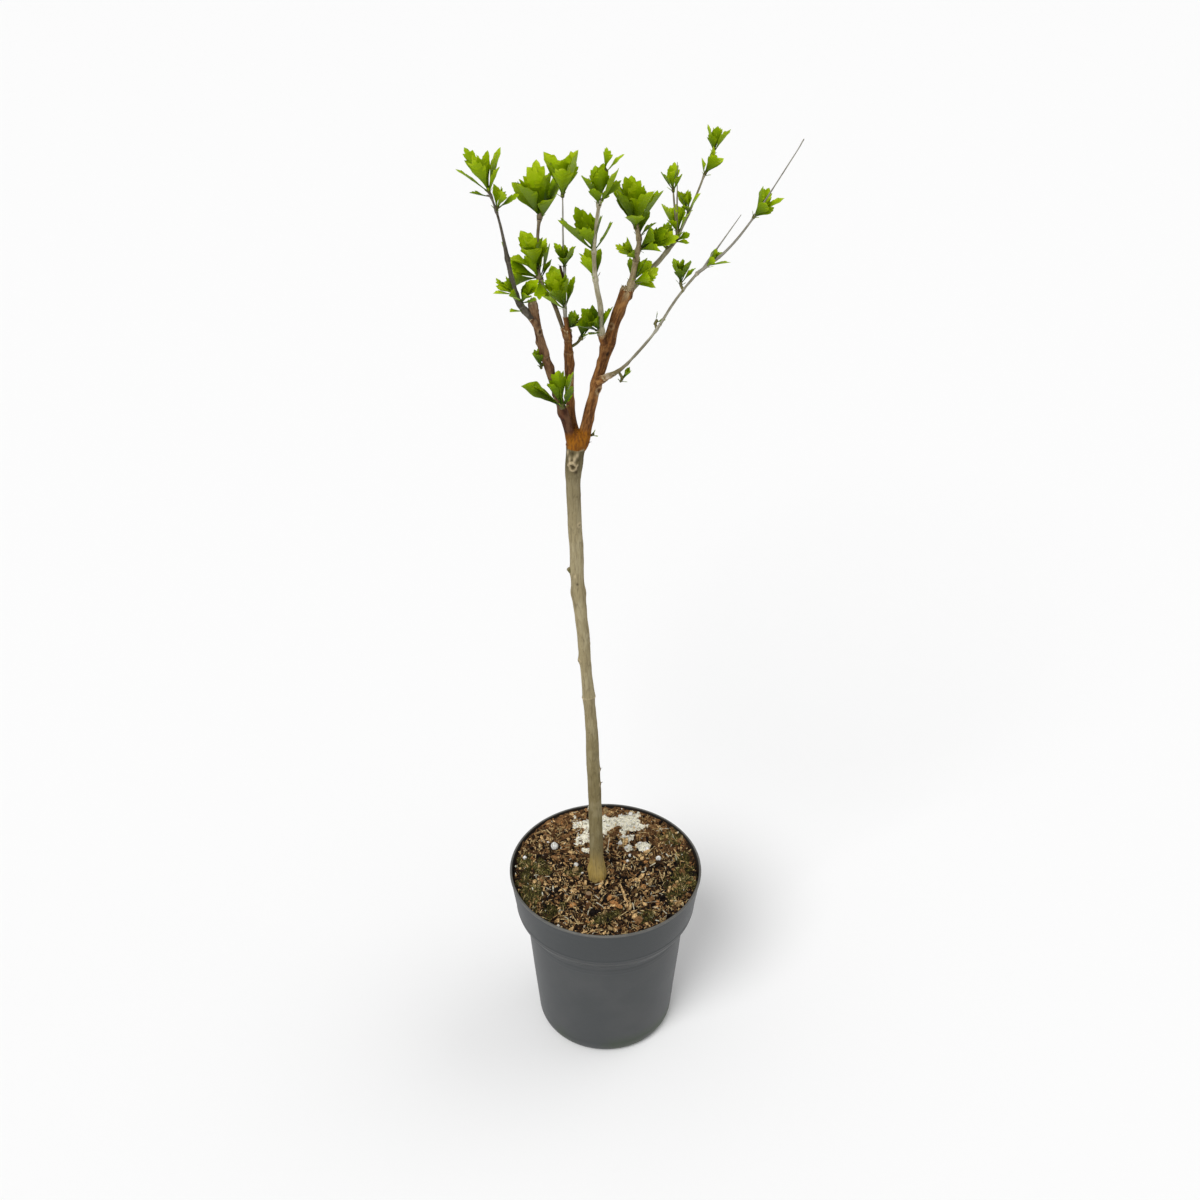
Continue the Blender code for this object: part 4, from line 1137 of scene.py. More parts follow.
def addBud(shape, place, towards, length):
    # a plump pointed bud: a short round limb that swells and closes
    share = np.linspace(0, 1, 9)
    path = np.asarray(place) + np.outer(share * length, unit(np.asarray(towards, float)))
    radii = length * 0.34 * np.sin(np.pi * (0.16 + 0.8 * share)) * (1 - 0.35 * share)
    limbMesh(shape, path, radii, 10, barks["left"], 77, slot=1)


def makeTrunk():
    # the stub and the buds are short limbs of their own, sunk into the bark
    shape = Gather("trunkBark")
    path = smoothPath(trunk.points, limbGrid["trunkRings"])
    radii = limbRadii(trunk, len(path))
    limbMesh(shape, path, radii, limbGrid["trunkSides"], barks["trunk"], 3, domeEnd, trunkMarks)
    start, end, thick, thin = trunkStub
    stub, around = np.linspace(start, end, 12), np.linspace(thick, thin, 12)
    limbMesh(shape, stub, around, 20, barks["spur"], 5, cutEnd, slot=2)
    for place, towards, length in trunkBuds:
        addBud(shape, place, towards, length)
    finishes = [
        barkFinish("trunkSkin", barks["trunk"], True), barkFinish("budSkin", barks["left"]),
        barkFinish("stubSkin", barks["spur"])]
    return shape.make(finishes, ["trunk"])


def rootOf(points, own):
    # the limb that carries a shoot, and the place on that limb's axis where the shoot begins
    start, ahead = np.array(points[0]), unit(np.array(points[1]) - np.array(points[0]))
    apart = {name: np.linalg.norm(path - start, axis=1) for name, path in boughPaths.items() if name != own}
    name = min(apart, key=lambda key: apart[key].min())
    path, row = boughPaths[name], apart[name].argmin()
    direction = unit(path[min(row + 1, len(path) - 1)] - path[max(row - 1, 0)])
    core = path[row] - direction * rooting["below"] * max(0, ahead @ direction)
    if np.linalg.norm(core - start) < 0.0015:
        core = start - ahead * 0.0008
    return name, core


def withRoot(core, path, radii):
    # goes on inside the carrying limb, thinner and thinner
    count = max(3, int(np.linalg.norm(path[0] - core) / 0.0009))
    share = np.linspace(0, 1, count + 1)[:-1, None]
    inner = core + (path[0] - core) * share
    thin = radii[0] * (rooting["thin"] + (1 - rooting["thin"]) * share[:, 0])
    return np.vstack([inner, path]), np.r_[thin, radii]


def addFringe(shape, centre, axis, radius, count, length, slot):
    # torn flakes of bark that lie round a limb's end or round a shoot's foot
    rng = np.random.default_rng(int(centre[2] * 1e5))
    side, other = across(axis)
    turn = rng.uniform(0, 2 * np.pi, count)[:, None]
    outward = np.cos(turn) * side + np.sin(turn) * other
    length = length * rng.uniform(0.4, 1, count)
    start = centre + outward * radius * rng.uniform(0.82, 0.98, (count, 1)) - axis * length[:, None] * 0.55
    ahead = axis + outward * rng.uniform(0, 0.22, (count, 1))
    ahead = unit(ahead + np.cross(axis, outward) * rng.uniform(-0.2, 0.2, (count, 1)))
    bend, thick = rng.uniform(-0.2, 0.1, count), rng.uniform(0.0003, 0.00075, count)
    up = unit(np.cross(np.cross(ahead, outward), ahead))
    shape.addCopies(*strandPoints(start, ahead, up, length, bend, thick, 5, 5, 0.28), slot)


def addCollar(shape, path, radii, core, past, carrier, slot, fringe):
    # the bark of the carrying limb swells round a shoot's foot and goes a little way up it
    run = runLength(path)
    end = run[np.linalg.norm(path - core, axis=1).argmin()] + past
    rows = run <= end
    wider = np.interp(run[rows] / end, np.linspace(0, 1, len(rooting["wider"])), rooting["wider"])
    line, around = path[rows], radii[rows] * wider
    fray = Mark("fray", line[-1, 2], 0, 0.0028, 0.0002)
    limbMesh(shape, line, around, 28, barks[boughs[carrier].bark], 61, marks=[fray], slot=slot)
    addFringe(shape, line[-1], unit(line[-1] - line[-3]), around[-1], 16, 0.0026, fringe)


rooting = {
    "below": 0.0085,
    "thin": 0.6,
    # how far the carrier's bark goes up a shoot
    "past": {"pale_shoot": 0.015, "left_shoot": 0.006, "centre_twig": 0.017},
    "otherPast": 0.007,
    "wider": (1.3, 1.35, 1.35, 1.3, 1.22, 1.09),
    "spurFoot": 0.0015,  # a shoot with a thinner foot has no such collar
    "fringe": (0.5, 0.39, 0.22),
    "ends": {"left_bough": 16, "middle_bough": 22, "right_bough": 44},  # flakes round the cut ends
}
boughPaths = {name: smoothPath(limb.points, 200) for name, limb in boughs.items()}
boughSkins = {
    name: barkFinish(pieceName(name) + "Skin", barks[limb.bark], fromFork=True)
    for name, limb in boughs.items()}
fringeFinish = crumbFinish("fringe", rooting["fringe"], 0.0012)


def makeBoughs():
    # a bough starts inside the trunk, where it is thin, and swells out of the trunk's side
    for index, (name, limb) in enumerate(boughs.items()):
        isSide = name == "right_side_bough"
        shape = Gather(pieceName(name) + "Bark")
        if isSide:
            carrier, core = rootOf(limb.points, name)
            path = smoothPath(limb.points, int(runLength(boughPaths[name])[-1] / limbGrid["boughStep"]))
            path, radii = withRoot(core, path, limbRadii(limb, len(path)))
            addCollar(shape, path, radii, limb.points[0], rooting["otherPast"], carrier, 1, 2)
        else:
            points = (fork["root"], *limb.points)
            path = smoothPath(points, int(runLength(smoothPath(points, 200))[-1] / limbGrid["boughStep"]))
            run = runLength(path)
            sunk = np.linalg.norm(np.subtract(limb.points[0], fork["root"]))
            own = np.clip((run - sunk) / (run[-1] - sunk), 0, 1)
            radii = np.interp(own, np.linspace(0, 1, len(path)), limbRadii(limb, len(path)))
            radii = radii * (0.55 + 0.45 * rise(0, sunk, run))
            ahead = unit(path[-1] - path[-3])
            addFringe(shape, path[-1] + ahead * 0.0012, ahead, radii[-1], rooting["ends"][name], 0.0042, 2)
        sides, end = (limbGrid["sideSides"], roundEnd) if isSide else (limbGrid["boughSides"], stubEnd)
        limbMesh(shape, path, radii, sides, barks[limb.bark], 20 + index, end, boughMarks[name])
        shape.make([boughSkins[name], boughSkins["right_bough"], fringeFinish], [name])


makeTrunk()
makeBoughs()
print("trunk and boughs made")


def makeTwigEnd():
    # the cut end of a twig that stands upright in the mix
    x, y = twigEnd["place"]
    level = mixHeight(np.array([x]), np.array([y]))[0]
    path = np.linspace((x, y, level - 0.003), (x + 0.0006, y, level + twigEnd["rise"]), 12)
    shape = Gather("twigEnd")
    limbMesh(shape, path, np.full(12, twigEnd["radius"]), 28, barks["left"], 55, cutEnd)
    return shape.make([barkFinish("twigEndSkin", barks["left"])])


makeTwigEnd()


# Shoots: the seed, the bark, the stem's radii and points, and its sprays. A spray is a twig at
# a share of the stem, that leaves on a bearing in degrees, leans from upright by some degrees,
# is so long, and ends in so many leaves of that length. Its tone is how bright its leaves are,
# 0 to 8, wide is how wide they are beside the rest, curl is how far their tips bend in, as a
# share of their length, and teeth is how deep their edges are cut. Lengths are in millimetres.

Spray = namedtuple(
    "Spray", "share bearing lean twig leaf leaves tone wide curl teeth", defaults=(1, 0.02, 1))
Shoot = namedtuple("Shoot", "seed bark foot tip points sprays")


def shootOf(seed, bark, foot, tip, points, rows):
    sprays = [Spray(*row[:3], row[3] / perMetre, row[4] / perMetre, *row[5:]) for row in rows]
    return Shoot(seed, bark, foot / perMetre, tip / perMetre, metres(points), sprays)


shoots = {
    "left_shoot": shootOf(21, "darkShoot", 2.9, 1.2, (
        (-56, -27, 801), (-68, -33, 820), (-73, -38, 843), (-80, -50, 893), (-87, -58, 922),
    ), (
        (1, 150, 16, 0, 32, 8, 5.2, 0.75), (0.94, 185, 78, 3, 15, 1, 3), (0.84, 330, 28, 4, 21, 3, 4.6),
        (0.5, 190, 14, 3, 12, 1, 4.3), (0.24, 195, 54, 3, 20, 4, 5.3), (0.17, 310, 30, 4, 25, 5, 4.3),
        (0.11, 230, 72, 3, 15, 1, 5.9),
    )),
    "centre_shoot": shootOf(40, "greyShoot", 1.9, 1.4, (
        (-34, 30, 762), (-44, 39, 788), (-52, 46, 797), (-57, 54, 813), (-56, 64, 837), (-54, 70, 851),
    ), (
        (1, 210, 8, 0, 44, 8, 5.4, 1.15, 0), (0.98, 125, 56, 2, 29, 2, 4.4),
        (0.97, 355, 20, 14, 11, 2, 3), (0.56, 200, 12, 4, 33, 6, 5.4, 1.2), (0.5, 175, 72, 4, 32, 4, 4.6),
        (0.5, 270, 103, 4, 27, 1, 4.6), (0.48, 110, 31, 4, 28, 5, 4.2),
    )),
    "centre_twig": shootOf(32, "greyTip", 1.8, 0.8, (
        (-30.5, 27, 762), (-34, 31, 780), (-34, 36, 815), (-35, 38, 836), (-35, 42, 880),
    ), (
        (1, 60, 0, 0, 36, 5, 5.4, 1.1, 0.09), (0.49, 350, 0, 3, 21, 7, 3.8), (0.38, 190, 14, 15, 0, 0, 0),
        (0.2, 170, 16, 3, 33, 7, 4.8), (0.06, 10, 36, 3, 17, 6, 3.2),
    )),
    "pale_shoot": shootOf(51, "paleShoot", 2.6, 1.6, (
        (-1, 9, 763), (-4.5, 4, 775), (-5, -1, 801), (-9, -10, 829), (-10, -20, 858), (-6, -36, 904),
    ), (
        (1, 180, 0, 0, 30, 7, 4.8, 1, 0.1), (0.98, 25, 12, 26, 22, 2, 5.2), (0.97, 50, 54, 6, 22, 2, 4.4),
        (0.66, 210, 16, 4, 37, 3, 4.4), (0.47, 155, 16, 3, 28, 3, 4.8), (0.11, 225, 34, 3, 25, 7, 2.8),
        (0.12, 70, 30, 3, 20, 2, 3.8),
    )),
    "right_centre_shoot": shootOf(46, "tanShoot", 2.4, 2, (
        (17.5, 14, 804), (23, 10, 838), (25, 6, 855), (22, 2, 870),
    ), (
        (1, 110, 0, 0, 40, 10, 5, 1, 0.03), (0.8, 70, 32, 4, 24, 3, 4), (0.62, 350, 54, 5, 33, 4, 4.2),
        (0.5, 200, 39, 4, 21, 4, 5.4), (0.18, 350, 66, 4, 23, 4, 5.6), (0.16, 20, 24, 4, 25, 3, 4.6),
    )),
    "right_long_shoot": shootOf(20, "oliveShoot", 2.6, 1, (
        (16, 19, 804), (34, 34, 817), (45, 46, 824), (58, 60, 837), (72, 76, 863), (82, 90, 884),
        (87, 97, 895),
    ), (
        (1, 60, 18, 0, 24, 7, 5.6), (0.85, 10, 30, 3, 21, 5, 5.4), (0.61, 240, 11, 4, 21, 5, 5.2),
        (0.48, 130, 8, 4, 25, 6, 5.4), (0.36, 120, 14, 4, 24, 4, 4.2), (0.42, 0, 56, 4, 15, 2, 4.6),
        (0.46, 160, 6, 42, 21, 5, 4.8), (0.46, 120, 2, 62, 0, 0, 0),
    )),
    "right_tips": shootOf(23, "greyTip", 1.2, 0.6, (
        (68, -52, 853), (88, -62, 875), (106, -72, 905), (130, -88, 956), (136, -92, 970),
    ), (
        (0.07, 0, 44, 3, 18, 5, 5), (0.03, 345, 31, 54, 0, 0, 0), (0.48, 10, 36, 3, 23, 6, 5.2),
    )),
    "low_left_spur": shootOf(64, "spur", 1.6, 1.3, (
        (-38, -9, 716), (-37, -15, 719), (-36, -18, 724),
    ), (
        (1, 130, 20, 0, 33, 5, 3.5), (0.85, 178, 66, 2, 36, 1, 3, 1.45, 0.02, 0),
        (0.8, 310, 28, 2, 17, 2, 3.9),
    )),
    "left_spur": shootOf(23, "spur", 1.4, 1.1, (
        (-48, -18, 762), (-51, -19, 760), (-53, -20, 761),
    ), (
        (1, 170, 8, 0, 18, 5, 3.4),
    )),
    "side_spur_low": shootOf(39, "spur", 1.2, 1, (
        (9, -5, 748), (11, -5, 744), (13, -6, 741),
    ), (
        (1, 340, 32, 0, 14, 3, 3.4),
    )),
    "side_spur_middle": shootOf(85, "spur", 1.1, 0.9, (
        (39, -26, 794), (38, -24, 798), (39, -24, 801),
    ), (
        (1, 350, 28, 0, 10, 2, 2.6),
    )),
    "side_spur_high": shootOf(15, "spur", 1.2, 1, (
        (58, -43, 835), (56, -42, 839), (56, -42, 843),
    ), (
        (1, 110, 4, 0, 20, 6, 3.6),
    )),
    "fork_spur": shootOf(29, "spur", 1.1, 0.9, (
        (-18, 3, 684), (-13, 2, 684), (-11, 1, 686),
    ), (
        (1, 330, 46, 0, 8, 2, 4),
    )),
    "middle_spur": shootOf(10, "spur", 1.3, 1, (
        (-31, 27, 752), (-24, 25, 758), (-20, 24, 765),
    ), (
        (1, 40, 15, 0, 22, 5, 3.1), (0.85, 310, 54, 2, 11, 1, 4.5),
    )),
}

# The rule of the whorls, as the solids have it
whorlRule = {
    "goldenTurn": math.radians(137.5),
    "turnJitter": math.radians(18),
    "innerTilt": math.radians(13),
    "outerTilt": math.radians(48),
    "tiltJitter": math.radians(5),
    "lengthJitter": 0.12,
    "shorterAtEnds": 0.25,
    "depth": 0.003,
    "rootOffset": 0.0004,
    "tipDrop": 0.07,
    "sameTip": 0.00005,  # a leaf is the solid's own where its tip lies this near to the solid
    "twig": (0.0009, 0.0007, 0.0003),  # radius at the foot, at a leafy tip and at a bare tip
    "steps": (
        (0, 0), (0.35, 0), (-0.35, 0), (0.7, 0.1), (-0.7, 0.1),
        (1.1, 0.2), (-1.1, 0.2), (1.6, 0.3), (-1.6, 0.3),
    ),
}

# Leaf rows from root to tip: share of the length, half-width, how deep the edge is cut there
# and how far it sweeps forward. Above a long wedge, two pairs of teeth point towards the tip
leafRows = np.array((
    (0, 0, 0, 0), (0.15, 0.026, 0, 0), (0.29, 0.068, 0, 0), (0.41, 0.124, 0, 0),
    (0.52, 0.18, 0, 0), (0.61, 0.218, 0, 0.01), (0.665, 0.23, 0, 0.045), (0.705, 0.218, 0.052, 0),
    (0.78, 0.182, 0.008, 0.01), (0.825, 0.162, 0, 0.042), (0.865, 0.136, 0.048, 0),
    (0.935, 0.068, 0.006, 0),
))
leafLook = {
    "columns": np.array((-1, -0.55, 0, 0.55, 1)),
    "rootHalf": 0.0006,
    "keel": (0.022, 0.008),  # depth of the midrib below the blade at the root and at the tip
    "fold": (0.12, 0.75),  # how steeply the two halves rise from the midrib
    "pucker": 0.004,
    "ruffle": 0.016,
    "bend": 0.07,
    "curlJitter": (-0.1, 0.08),
    "patchy": 0.3,  # each face is by up to so many tones brighter or darker
    "teeth": (0.25, 1.3),
    # the leaf darkens towards its root, partly its own tint and partly painted shade of the whorl's middle,
    # and brightens towards its tip, partly painted light; its middle columns are a little darker than its
    # edges, partly painted shade
    "rootToneAndShade": -16,
    "tipToneAndLight": 5,
    "edgeTone": 0.5,
    # undersides are painted darker: painted shade
    "underShadeTone": -3.5,
    "between": 3,  # so many more leaves in a full whorl
    "fullFrom": 0.0315,  # length of leaf from which, and lean up to which, a whorl is full
    "fullBelow": 18,
    "toneCount": 32,
    # tones between which the rest are blended: number, red, green, blue
    "tones": (
        (0, 0.016, 0.036, 0.001), (6, 0.046, 0.086, 0.001), (12, 0.105, 0.174, 0.001),
        (18, 0.19, 0.292, 0.001), (24, 0.31, 0.44, 0.002), (31, 0.5, 0.62, 0.02),
    ),
}


def bearingVector(bearing, lean):
    turn, tilt = math.radians(bearing), math.radians(lean)
    return np.array([math.sin(tilt) * math.cos(turn), math.sin(tilt) * math.sin(turn), math.cos(tilt)])


def whorl(foot, axis, leaf, count, rng):
    # leaves turn by the golden angle; the inner ones are upright, the outer ones spread
    def jitter(key):
        return rng.uniform(-whorlRule[key], whorlRule[key])

    start = rng.uniform(0, 2 * math.pi)
    found = []
    for k in range(count):
        outer = (k + 0.5) / count
        turn = start + k * whorlRule["goldenTurn"] + jitter("turnJitter")
        tilt = whorlRule["innerTilt"] + (whorlRule["outerTilt"] - whorlRule["innerTilt"]) * outer
        tilt += jitter("tiltJitter")
        share = 1 - whorlRule["shorterAtEnds"] * abs(2 * outer - 1) + jitter("lengthJitter")
        if count == 1:
            side, other = across(axis)
            turn, tilt = math.atan2(-other[2], -side[2]), 0
        found.append((foot - axis * whorlRule["depth"] * outer, turn, tilt, leaf * share))
    return found


def leafAxes(axis, turn, tilt):
    # outward from the axis, along the leaf, and the way its upper side faces
    side, other = across(axis)
    outward = math.cos(turn) * side + math.sin(turn) * other
    along = math.cos(tilt) * axis + math.sin(tilt) * outward
    return outward, along, math.sin(tilt) * axis - math.cos(tilt) * outward


def solidLeaf(tree, root, axis, turn, tilt, length):
    # the step of turn and tilt at which the solid has this leaf, or None where it was skipped
    for turnStep, tiltStep in whorlRule["steps"]:
        outward, along, faceUp = leafAxes(axis, turn + turnStep, tilt + tiltStep)
        start = root + outward * whorlRule["rootOffset"]
        tip = start + length * (along - whorlRule["tipDrop"] * faceUp)
        if tree.find_nearest(Vector(tip), whorlRule["sameTip"])[0] is not None:
            return start, along, faceUp
    return None


def leafFaces():
    # the upper grid, two strips under it that meet at the keel, the tip, and the closed root
    rows, columns = len(leafRows), len(leafLook["columns"])
    tip, keel = rows * columns, rows * columns + 1
    r, c = (axis.ravel() for axis in np.meshgrid(np.arange(rows - 1), np.arange(columns - 1), indexing="ij"))
    low = r * columns + c
    upper = joined(low, low + columns, low + columns + 1, low + 1)
    row = np.arange(rows - 1)
    left, right, middle = row * columns, row * columns + columns - 1, keel + row
    underLeft = joined(left, middle, middle + 1, left + columns)
    underRight = joined(middle, right, right + columns, middle + 1)
    first = np.arange(columns - 1)
    last = (rows - 1) * columns + first
    tipTop = joined(last, tip, last + 1)
    lastLeft, lastRight, lastKeel = (rows - 1) * columns, rows * columns - 1, keel + rows - 1
    tipUnder = np.array([[lastLeft, lastKeel, tip], [lastKeel, lastRight, tip]])
    rootEnd = joined(first, first + 1, keel)
    root, end, under = leafLook["rootToneAndShade"], leafLook["tipToneAndLight"], leafLook["underShadeTone"]
    # rows run from a dark root, partly painted shade, to a bright tip, partly painted light; the middle
    # columns are a step darker than the edges, partly painted shade
    byRow = root + (end - root) * leafRows[:, 0] ** 0.7
    edge = np.where((c == 0) | (c == columns - 2), 1, -1) * leafLook["edgeTone"]
    # the under strips are painted darker: painted shade
    quadTone = np.r_[byRow[r + 1] + edge, byRow[row + 1] + under, byRow[row + 1] + under]
    triangleTone = np.r_[np.full(columns - 1, end), [end + under] * 2, np.full(columns - 1, root)]
    faces = [np.vstack([upper, underLeft, underRight]), np.vstack([tipTop, tipUnder, rootEnd])]
    return faces, [quadTone, triangleTone]


def addLeaves(shape, leaves, rng):
    # every leaf is one template in its own axes: share of the length along, half-width aside,
    # and a rise that folds the halves up, drops the tip and puckers the blade between its veins
    start, along, faceUp = (np.array([leaf[k] for leaf in leaves]) for k in range(3))
    length, tone, slim, curl, teethShare = (np.array([leaf[k] for leaf in leaves]) for k in (3, 4, 5, 6, 7))
    count = len(leaves)
    left = np.cross(faceUp, along)
    columns = leafLook["columns"]
    share, half, cut, sweep = leafRows.T

    def spread(low, high):
        return rng.uniform(low, high, (count, 1, 1))

    toothed = spread(*leafLook["teeth"])[..., 0] * teethShare[:, None]
    width = spread(0.86, 1.12)[..., 0] * slim[:, None] * (half - cut * toothed)
    width = np.maximum(width, (leafLook["rootHalf"] / length)[:, None])
    teeth = sweep * toothed * rng.uniform(0.7, 1.3, (count, len(share)))
    aside = columns * width[..., None] * (1 + spread(-0.1, 0.1) * np.sign(columns))
    aside = aside + spread(-leafLook["bend"], leafLook["bend"]) * share[:, None] ** 2
    forward = share[:, None] + teeth[..., None] * columns**2
    lift = spread(*leafLook["fold"]) * np.abs(columns) * width[..., None]
    bent = curl[:, None, None] + spread(*leafLook["curlJitter"])
    lift = lift + bent * (np.clip(share - 0.25, 0, 1) / 0.75)[:, None] ** 1.7
    wave = np.where(np.arange(len(share)) % 2 == 0, 1, -1)
    lift = lift + leafLook["pucker"] * wave[:, None] * ((columns != 0) & (np.abs(columns) < 1))
    phase = spread(0, 2 * np.pi) + columns * 1.3
    ruffle = leafLook["ruffle"] * np.sin(phase + share[:, None] * 15) * columns**2
    lift = lift + ruffle * rise(0.3, 0.6, share)[:, None]

    def placed(forward, aside, lift):
        parts = zip((forward, aside, lift), (along, left, faceUp))
        reach = sum(part[..., None] * axis[:, None] for part, axis in parts)
        return start[:, None] + length[:, None, None] * reach

    grid = placed(*(part.reshape(count, -1) for part in (forward, aside, lift)))
    middle = len(columns) // 2
    rib, ribAside = lift[:, :, middle], aside[:, :, middle]
    beyond = (1 - share[-1]) / (share[-1] - share[-2])
    tip = placed(
        np.ones((count, 1)), ribAside[:, -1:] + (ribAside[:, -1:] - ribAside[:, -2:-1]) * beyond,
        rib[:, -1:] + (rib[:, -1:] - rib[:, -2:-1]) * beyond)
    depth = np.linspace(*leafLook["keel"], len(share))
    keel = placed(np.broadcast_to(share, rib.shape), ribAside, rib - depth)
    points = np.concatenate([grid, tip, keel], axis=1)
    faces, tones = leafFaces()
    level = 4 * tone + 0.9 + rng.uniform(-4.5, 4.5, count)
    top, patchy = leafLook["toneCount"] - 1, leafLook["patchy"]
    slots = [
        np.clip(np.rint(level[:, None] + shift + rng.uniform(-patchy, patchy, (count, len(shift)))), 0, top)
        for shift in tones]
    shape.addCopies(points, faces, [slot.astype(int).ravel() for slot in slots])


def leafFinish(index, tone):
    # one plain tone, with the fine grain of a leaf's skin
    skin = Finish(f"leafTone{index}", {
        "Subsurface Weight": 0.12, "Subsurface Radius": (0.002, 0.003, 0.0005), "Subsurface Scale": 0.3,
        "Specular IOR Level": 0.06,
    })
    skin.relief(skin.noise(skin.place(), 0.0009, 3, 0.6), 0.00008)
    return skin.finished(tone, 0.45)


def blendedTones():
    number, *channels = np.array(leafLook["tones"]).T
    wanted = np.arange(leafLook["toneCount"])
    return np.column_stack([np.interp(wanted, number, channel) for channel in channels])


leafFinishes = [leafFinish(index, tuple(tone)) for index, tone in enumerate(blendedTones().tolist())]
stemBarks = ("darkShoot", "greyShoot", "tanShoot", "paleShoot", "oliveShoot", "greyTip", "spur", "deadTwig")
stemSkins = {key: barkFinish(key + "Skin", barks[key]) for key in stemBarks}
# how much thinner than an even taper a stem is above its foot
stemSlimming = {"greyTip": 0.38, "darkShoot": 0.36, "paleShoot": 0.22, "oliveShoot": 0.42, "tanShoot": 0.1}


def stemRadii(shoot, count):
    # an even taper with a slight swelling wherever a twig leaves
    share = np.linspace(0, 1, count)
    radii = shoot.foot + (shoot.tip - shoot.foot) * share
    radii = radii * (1 - stemSlimming.get(shoot.bark, 0) * rise(0.15, 0.8, share))
    mean = radii.mean()
    length = runLength(smoothPath(shoot.points, count))[-1]
    for spray in shoot.sprays:
        radii = radii + mean * 0.28 * hump((share - spray.share) * length, 0.0028)
    return radii


def growShoot(name, shoot):
    # the stem and its twigs are one piece, the leaves another
    rng = np.random.default_rng(shoot.seed)
    extra = np.random.default_rng(shoot.seed + 500)
    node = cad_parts[name].data
    polygons = [tuple(polygon.vertices) for polygon in node.polygons]
    tree = BVHTree.FromPolygons([vertex.co.copy() for vertex in node.vertices], polygons)
    bark = barks[shoot.bark]
    path = smoothPath(shoot.points, 2 * len(shoot.points))
    stems = Gather(pieceName(name) + "Stem")
    count = max(16, int(runLength(path)[-1] / limbGrid["stemStep"]))
    fine = smoothPath(shoot.points, count)
    joints = [pointAt(fine, min(spray.share, 0.97))[2] - 0.0022 for spray in shoot.sprays]
    marks = [Mark("ring", height, 0, 0.0005, 0.0002) for height in joints]
    carrier, core = rootOf(shoot.points, name)
    stem, radii = withRoot(core, fine, stemRadii(shoot, count))
    limbMesh(stems, stem, radii, limbGrid["stemSides"], bark, shoot.seed, marks=marks)
    if shoot.foot > rooting["spurFoot"] and name != "low_left_spur":
        past = rooting["past"].get(name, rooting["otherPast"])
        addCollar(stems, stem, radii, shoot.points[0], past, carrier, 1, 4)
    leaves = []
    for spray in shoot.sprays:
        base = pointAt(path, spray.share)
        axis = bearingVector(spray.bearing, spray.lean)
        end = base + axis * spray.twig
        foot, leafy, bare = whorlRule["twig"]
        if spray.twig:
            rings = max(5, int(spray.twig / limbGrid["twigStep"]))
            line = np.linspace(base, end, rings)
            radii = np.linspace(foot, leafy if spray.leaves else bare, rings)
            isStub = not spray.leaves and spray.twig < 0.02
            if isStub:
                radii = np.linspace(1.3 * foot, foot, rings)
            sides, slot = limbGrid["twigSides"], 2 * isStub
            limbMesh(stems, line, radii, sides, bark, shoot.seed + 3, slot=slot)
        if spray.leaves > 1:
            knob = np.linspace(end - axis * 0.0042, end + axis * 0.0004, 8)
            swell = (0.0006 + 0.022 * spray.leaf) * (0.85 + 0.35 * np.sin(np.linspace(0.3, np.pi, 8)))
            limbMesh(stems, knob, swell, 12, barks["spur"], shoot.seed + 5, slot=3)
        for root, turn, tilt, length in whorl(end, axis, spray.leaf, spray.leaves, rng):
            found = solidLeaf(tree, root, axis, turn, tilt, length)
            if found:
                leaves.append((*found, length, spray.tone, spray.wide, spray.curl, spray.teeth))
        if spray.leaves > 2:
            addInnerLeaves(leaves, end, axis, spray, extra)
    skins = [stemSkins[shoot.bark], boughSkins[carrier], stemSkins["deadTwig"], stemSkins["spur"]]
    stems.make([*skins, fringeFinish], [name])
    blades = Gather(pieceName(name) + "Leaves")
    addLeaves(blades, leaves, extra)
    piece = blades.make(leafFinishes, [name])
    piece.data.set_sharp_from_angle(angle=math.radians(75))
    return len(leaves)


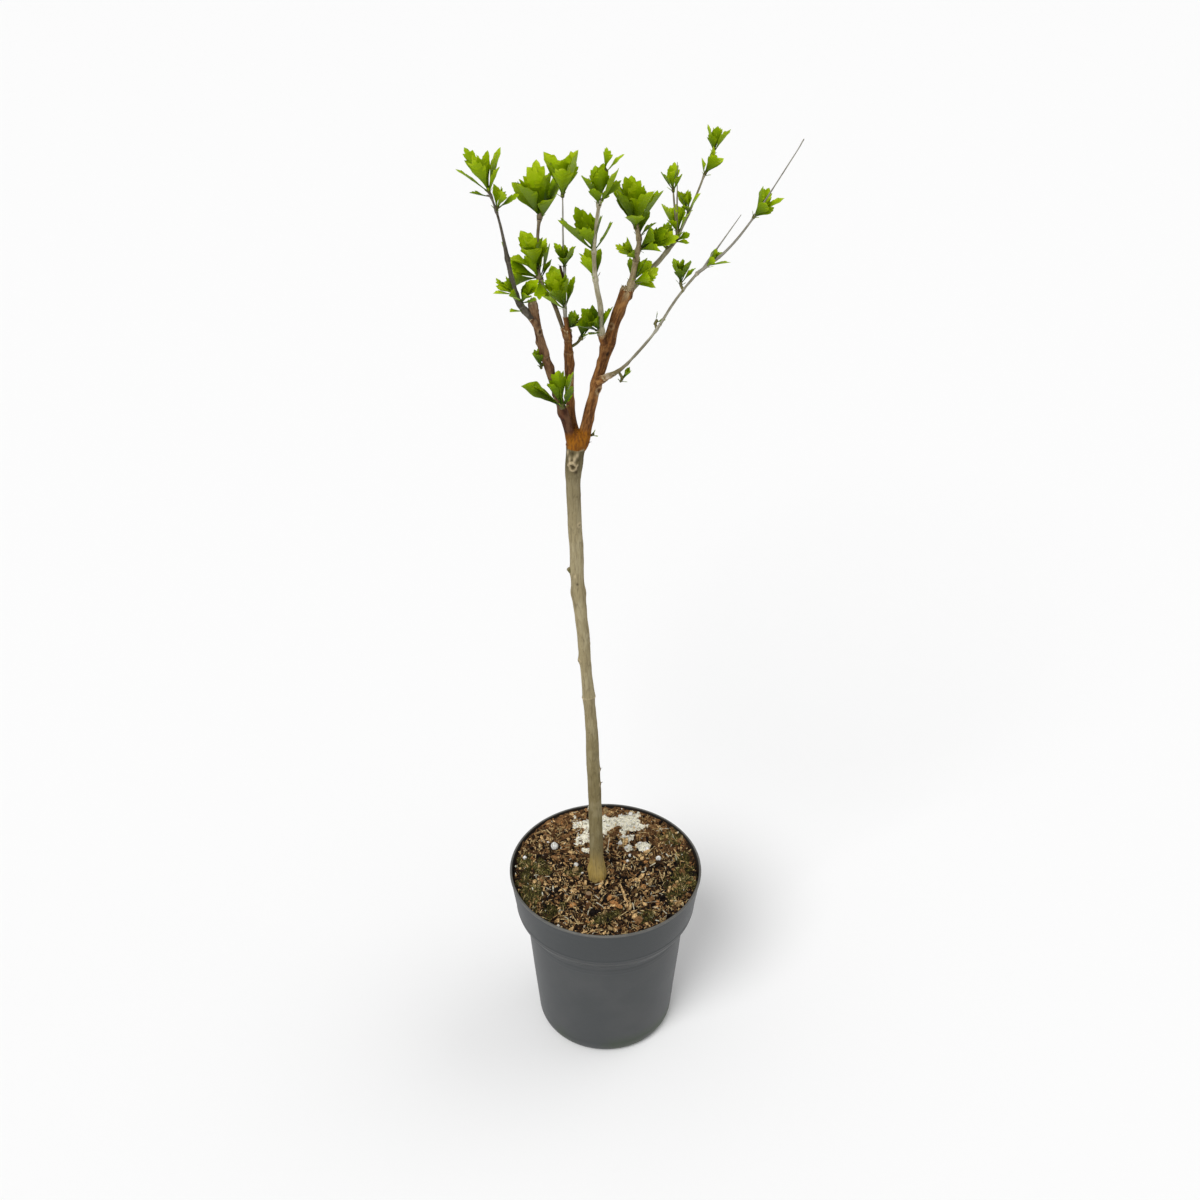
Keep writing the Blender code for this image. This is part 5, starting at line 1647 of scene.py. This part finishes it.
def addInnerLeaves(leaves, end, axis, spray, rng):
    # short folded leaves still upright in the middle, and narrow bracts low outside; a large
    # upright whorl has more leaves standing close between the inner and the outer ones
    start = rng.uniform(0, 2 * math.pi)
    isFull = spray.leaf > leafLook["fullFrom"] and spray.lean < leafLook["fullBelow"]
    for count, first, tilts, lengths, offset, brighter, wide in (
            (3, 0, (3, 14), (0.5, 0.84), 0.0005, 0.3, 0.8),
            (leafLook["between"] * isFull, 0.9, (16, 27), (0.74, 0.92), 0.0006, -0.1, 0.92)):
        for k in range(count):
            turn = start + first + k * whorlRule["goldenTurn"]
            outward, along, faceUp = leafAxes(axis, turn, math.radians(rng.uniform(*tilts)))
            length = spray.leaf * rng.uniform(*lengths)
            foot = end + outward * offset
            leaves.append((foot, along, faceUp, length, spray.tone + brighter, wide, 0, 1))
    for k in range(3):
        turn = start + 1 + k * 2.1 + rng.uniform(-0.4, 0.4)
        outward, along, faceUp = leafAxes(axis, turn, math.radians(rng.uniform(35, 62)))
        foot = end - axis * rng.uniform(0.0028, 0.0042) + outward * 0.0008
        leaves.append((foot, along, faceUp, rng.uniform(0.0035, 0.0065), spray.tone - 0.6, 0.42, 0, 1))


grown = sum(growShoot(name, shoot) for name, shoot in shoots.items())
print("shoots grown:", grown, "leaves")


# Floor and light

studio = {
    "floorSize": 24,
    "floorColour": (0.9, 0.9, 0.9),
    "sky": (1, 1, 1),
    "skyStrength": 0.47,
    # bearing and height in degrees, how wide the light is in degrees, and its strength
    "lights": ((240, 50, 30, 2.05), (20, 48, 50, 0.5)),
}


def makeStudio():
    half = studio["floorSize"] / 2
    mesh = bpy.data.meshes.new("floor")
    corners = [(-half, -half, 0), (half, -half, 0), (half, half, 0), (-half, half, 0)]
    mesh.from_pydata(corners, [], [(0, 1, 2, 3)])
    floor = bpy.data.objects.new("floor", mesh)
    bpy.context.scene.collection.objects.link(floor)
    pale = Finish("floorPaint", {"Specular IOR Level": 0.1})
    mesh.materials.append(pale.finished(studio["floorColour"], 0.9))
    world = bpy.data.worlds.new("studio")
    bpy.context.scene.world = world
    world.use_nodes = True
    sky = world.node_tree.nodes["Background"]
    sky.inputs["Color"].default_value = (*studio["sky"], 1)
    sky.inputs["Strength"].default_value = studio["skyStrength"]
    for index, (bearing, height, width, strength) in enumerate(studio["lights"]):
        data = bpy.data.lights.new(f"softLight{index}", "SUN")
        data.angle = math.radians(width)
        data.energy = strength
        lamp = bpy.data.objects.new(f"softLight{index}", data)
        towards = Vector(bearingVector(bearing, 90 - height))
        lamp.rotation_euler = towards.to_track_quat("Z", "Y").to_euler()
        bpy.context.scene.collection.objects.link(lamp)
    bpy.context.scene.view_settings.view_transform = "Standard"


makeStudio()
print("studio lit")
